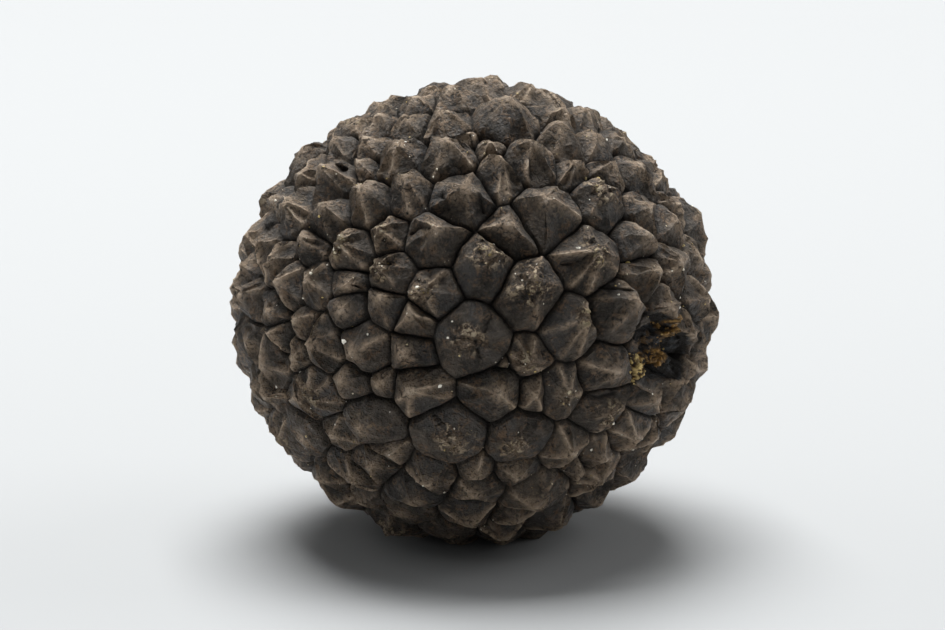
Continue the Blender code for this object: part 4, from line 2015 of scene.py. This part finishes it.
SOIL_GRAINS = Scatter(
    "soil_grains", 620, (0.035 * MM, 0.13 * MM), sink=0.25, roundness=1, seed=61, wound_range=(0.0, 0.02),
    placed=(
        (-33.2, -6.8, 0.27 * MM, 0.0), (-8.9, -17.7, 0.22 * MM, 0.0), (5.6, 17.6, 0.14 * MM, 0.0),
        (26.8, 16.2, 0.19 * MM, 0.0), (44.5, 13.1, 0.30 * MM, 0.95), (-63.5, -18, 0.17 * MM, 0.1),
        (13, -30, 0.13 * MM, 0.1), (-5, -28.8, 0.12 * MM, 0.2), (-13.4, 6.8, 0.19 * MM, 0.1),
        (-15.8, 0.3, 0.13 * MM, 0.2), (-5.8, -5.4, 0.12 * MM, 0.1), (-4.9, -1.9, 0.10 * MM, 0.1),
        (17, 3, 0.12 * MM, 0.3), (-23.5, 12.5, 0.17 * MM, 0.40), (-25, 11, 0.15 * MM, 0.55),
        (-37, 16.2, 0.23 * MM, 0.25), (-35, 16, 0.17 * MM, 0.35), (24.5, -18.5, 0.17 * MM, 0.6),
        (24, -21.5, 0.13 * MM, 0.9), (45, -28.5, 0.16 * MM, 0.1), (42, -37.5, 0.17 * MM, 0.1),
        (66, -37, 0.16 * MM, 0.1), (-17, -46.5, 0.16 * MM, 0.1), (-12.5, -52, 0.16 * MM, 0.2),
        (-27, -5, 0.12 * MM, 0.1), (38, 36.5, 0.17 * MM, 0.8), (40.5, 35, 0.16 * MM, 0.9),
        (6, -11.5, 0.09 * MM, 0.3), (13, -12, 0.12 * MM, 0.1), (37.3, 4.6, 0.14 * MM, 0.1),
        (-44, 9.8, 0.20 * MM, 0.25), (-44.7, 10.9, 0.15 * MM, 0.45), (-43.3, 8.7, 0.13 * MM, 0.40),
        (-22.4, 11.4, 0.12 * MM, 0.30), (-36.2, 14.8, 0.13 * MM, 0.50), (-14.6, 5.8, 0.12 * MM, 0.45),
    ),
)
CRUMB_SPREAD = 0.8                     # crumbs keep to the middle of each lump of flesh
EATEN_CRUMBS = Scatter(
    "eaten_crumbs", 240, (0.05 * MM, 0.24 * MM), sink=0.30, roundness=1, seed=62, wound_range=(0.0, 1.0),
    small_bias=1.6,
    clumps=tuple((lump.longitude, lump.latitude, lump.spread * CRUMB_SPREAD, lump.hue) for lump in FLESH),
    placed=((64.0, -9.0, 0.22 * MM, 1.00), (47.0, -13.8, 0.30 * MM, 0.95), (58.2, -3.0, 0.26 * MM, 0.60)),
)

PALE_GRIT = BitsFinish(
    "pale_grit",
    first=rgba(0.80, 0.77, 0.68),
    second=rgba(0.52, 0.45, 0.32),
    third=rgba(0.56, 0.42, 0.13),
    roughness=0.35,
    grain_size=0.14 * MM,
    dust_cover=0.3,
)
OCHRE_CRUMBS = BitsFinish(
    "ochre_crumbs",
    first=rgba(0.035, 0.020, 0.008),
    second=rgba(0.24, 0.125, 0.024),
    third=rgba(0.50, 0.37, 0.13),
    roughness=0.55,
    grain_size=0.3 * MM,
    dust_cover=0.2,
)


def dress(piece: bpy.types.Object, material: bpy.types.Material) -> None:
    """Give a piece its finish and let it ride on the truffle.

    Args:
        piece: The piece.
        material: Its finish.
    """
    piece.data.materials.append(material)
    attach(piece, "root")


def main() -> None:
    """Build the truffle's looks and the studio round it."""
    logging.basicConfig(level=logging.INFO, format="%(name)s %(message)s")
    low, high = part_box("truffle")
    body = Body(low, high)
    effects = Effects.build()
    rind = Rind(Relief(), body).build()
    dress(rind, RindFinish().make(effects))
    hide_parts("truffle")
    dress(SOIL_GRAINS.build(rind, body), PALE_GRIT.make(effects))
    dress(EATEN_CRUMBS.build(rind, body), OCHRE_CRUMBS.make(effects))
    bpy.context.scene.view_settings.view_transform = "Standard"
    Studio(Vector(body.centre)).build()


if __name__ == "__main__":
    main()
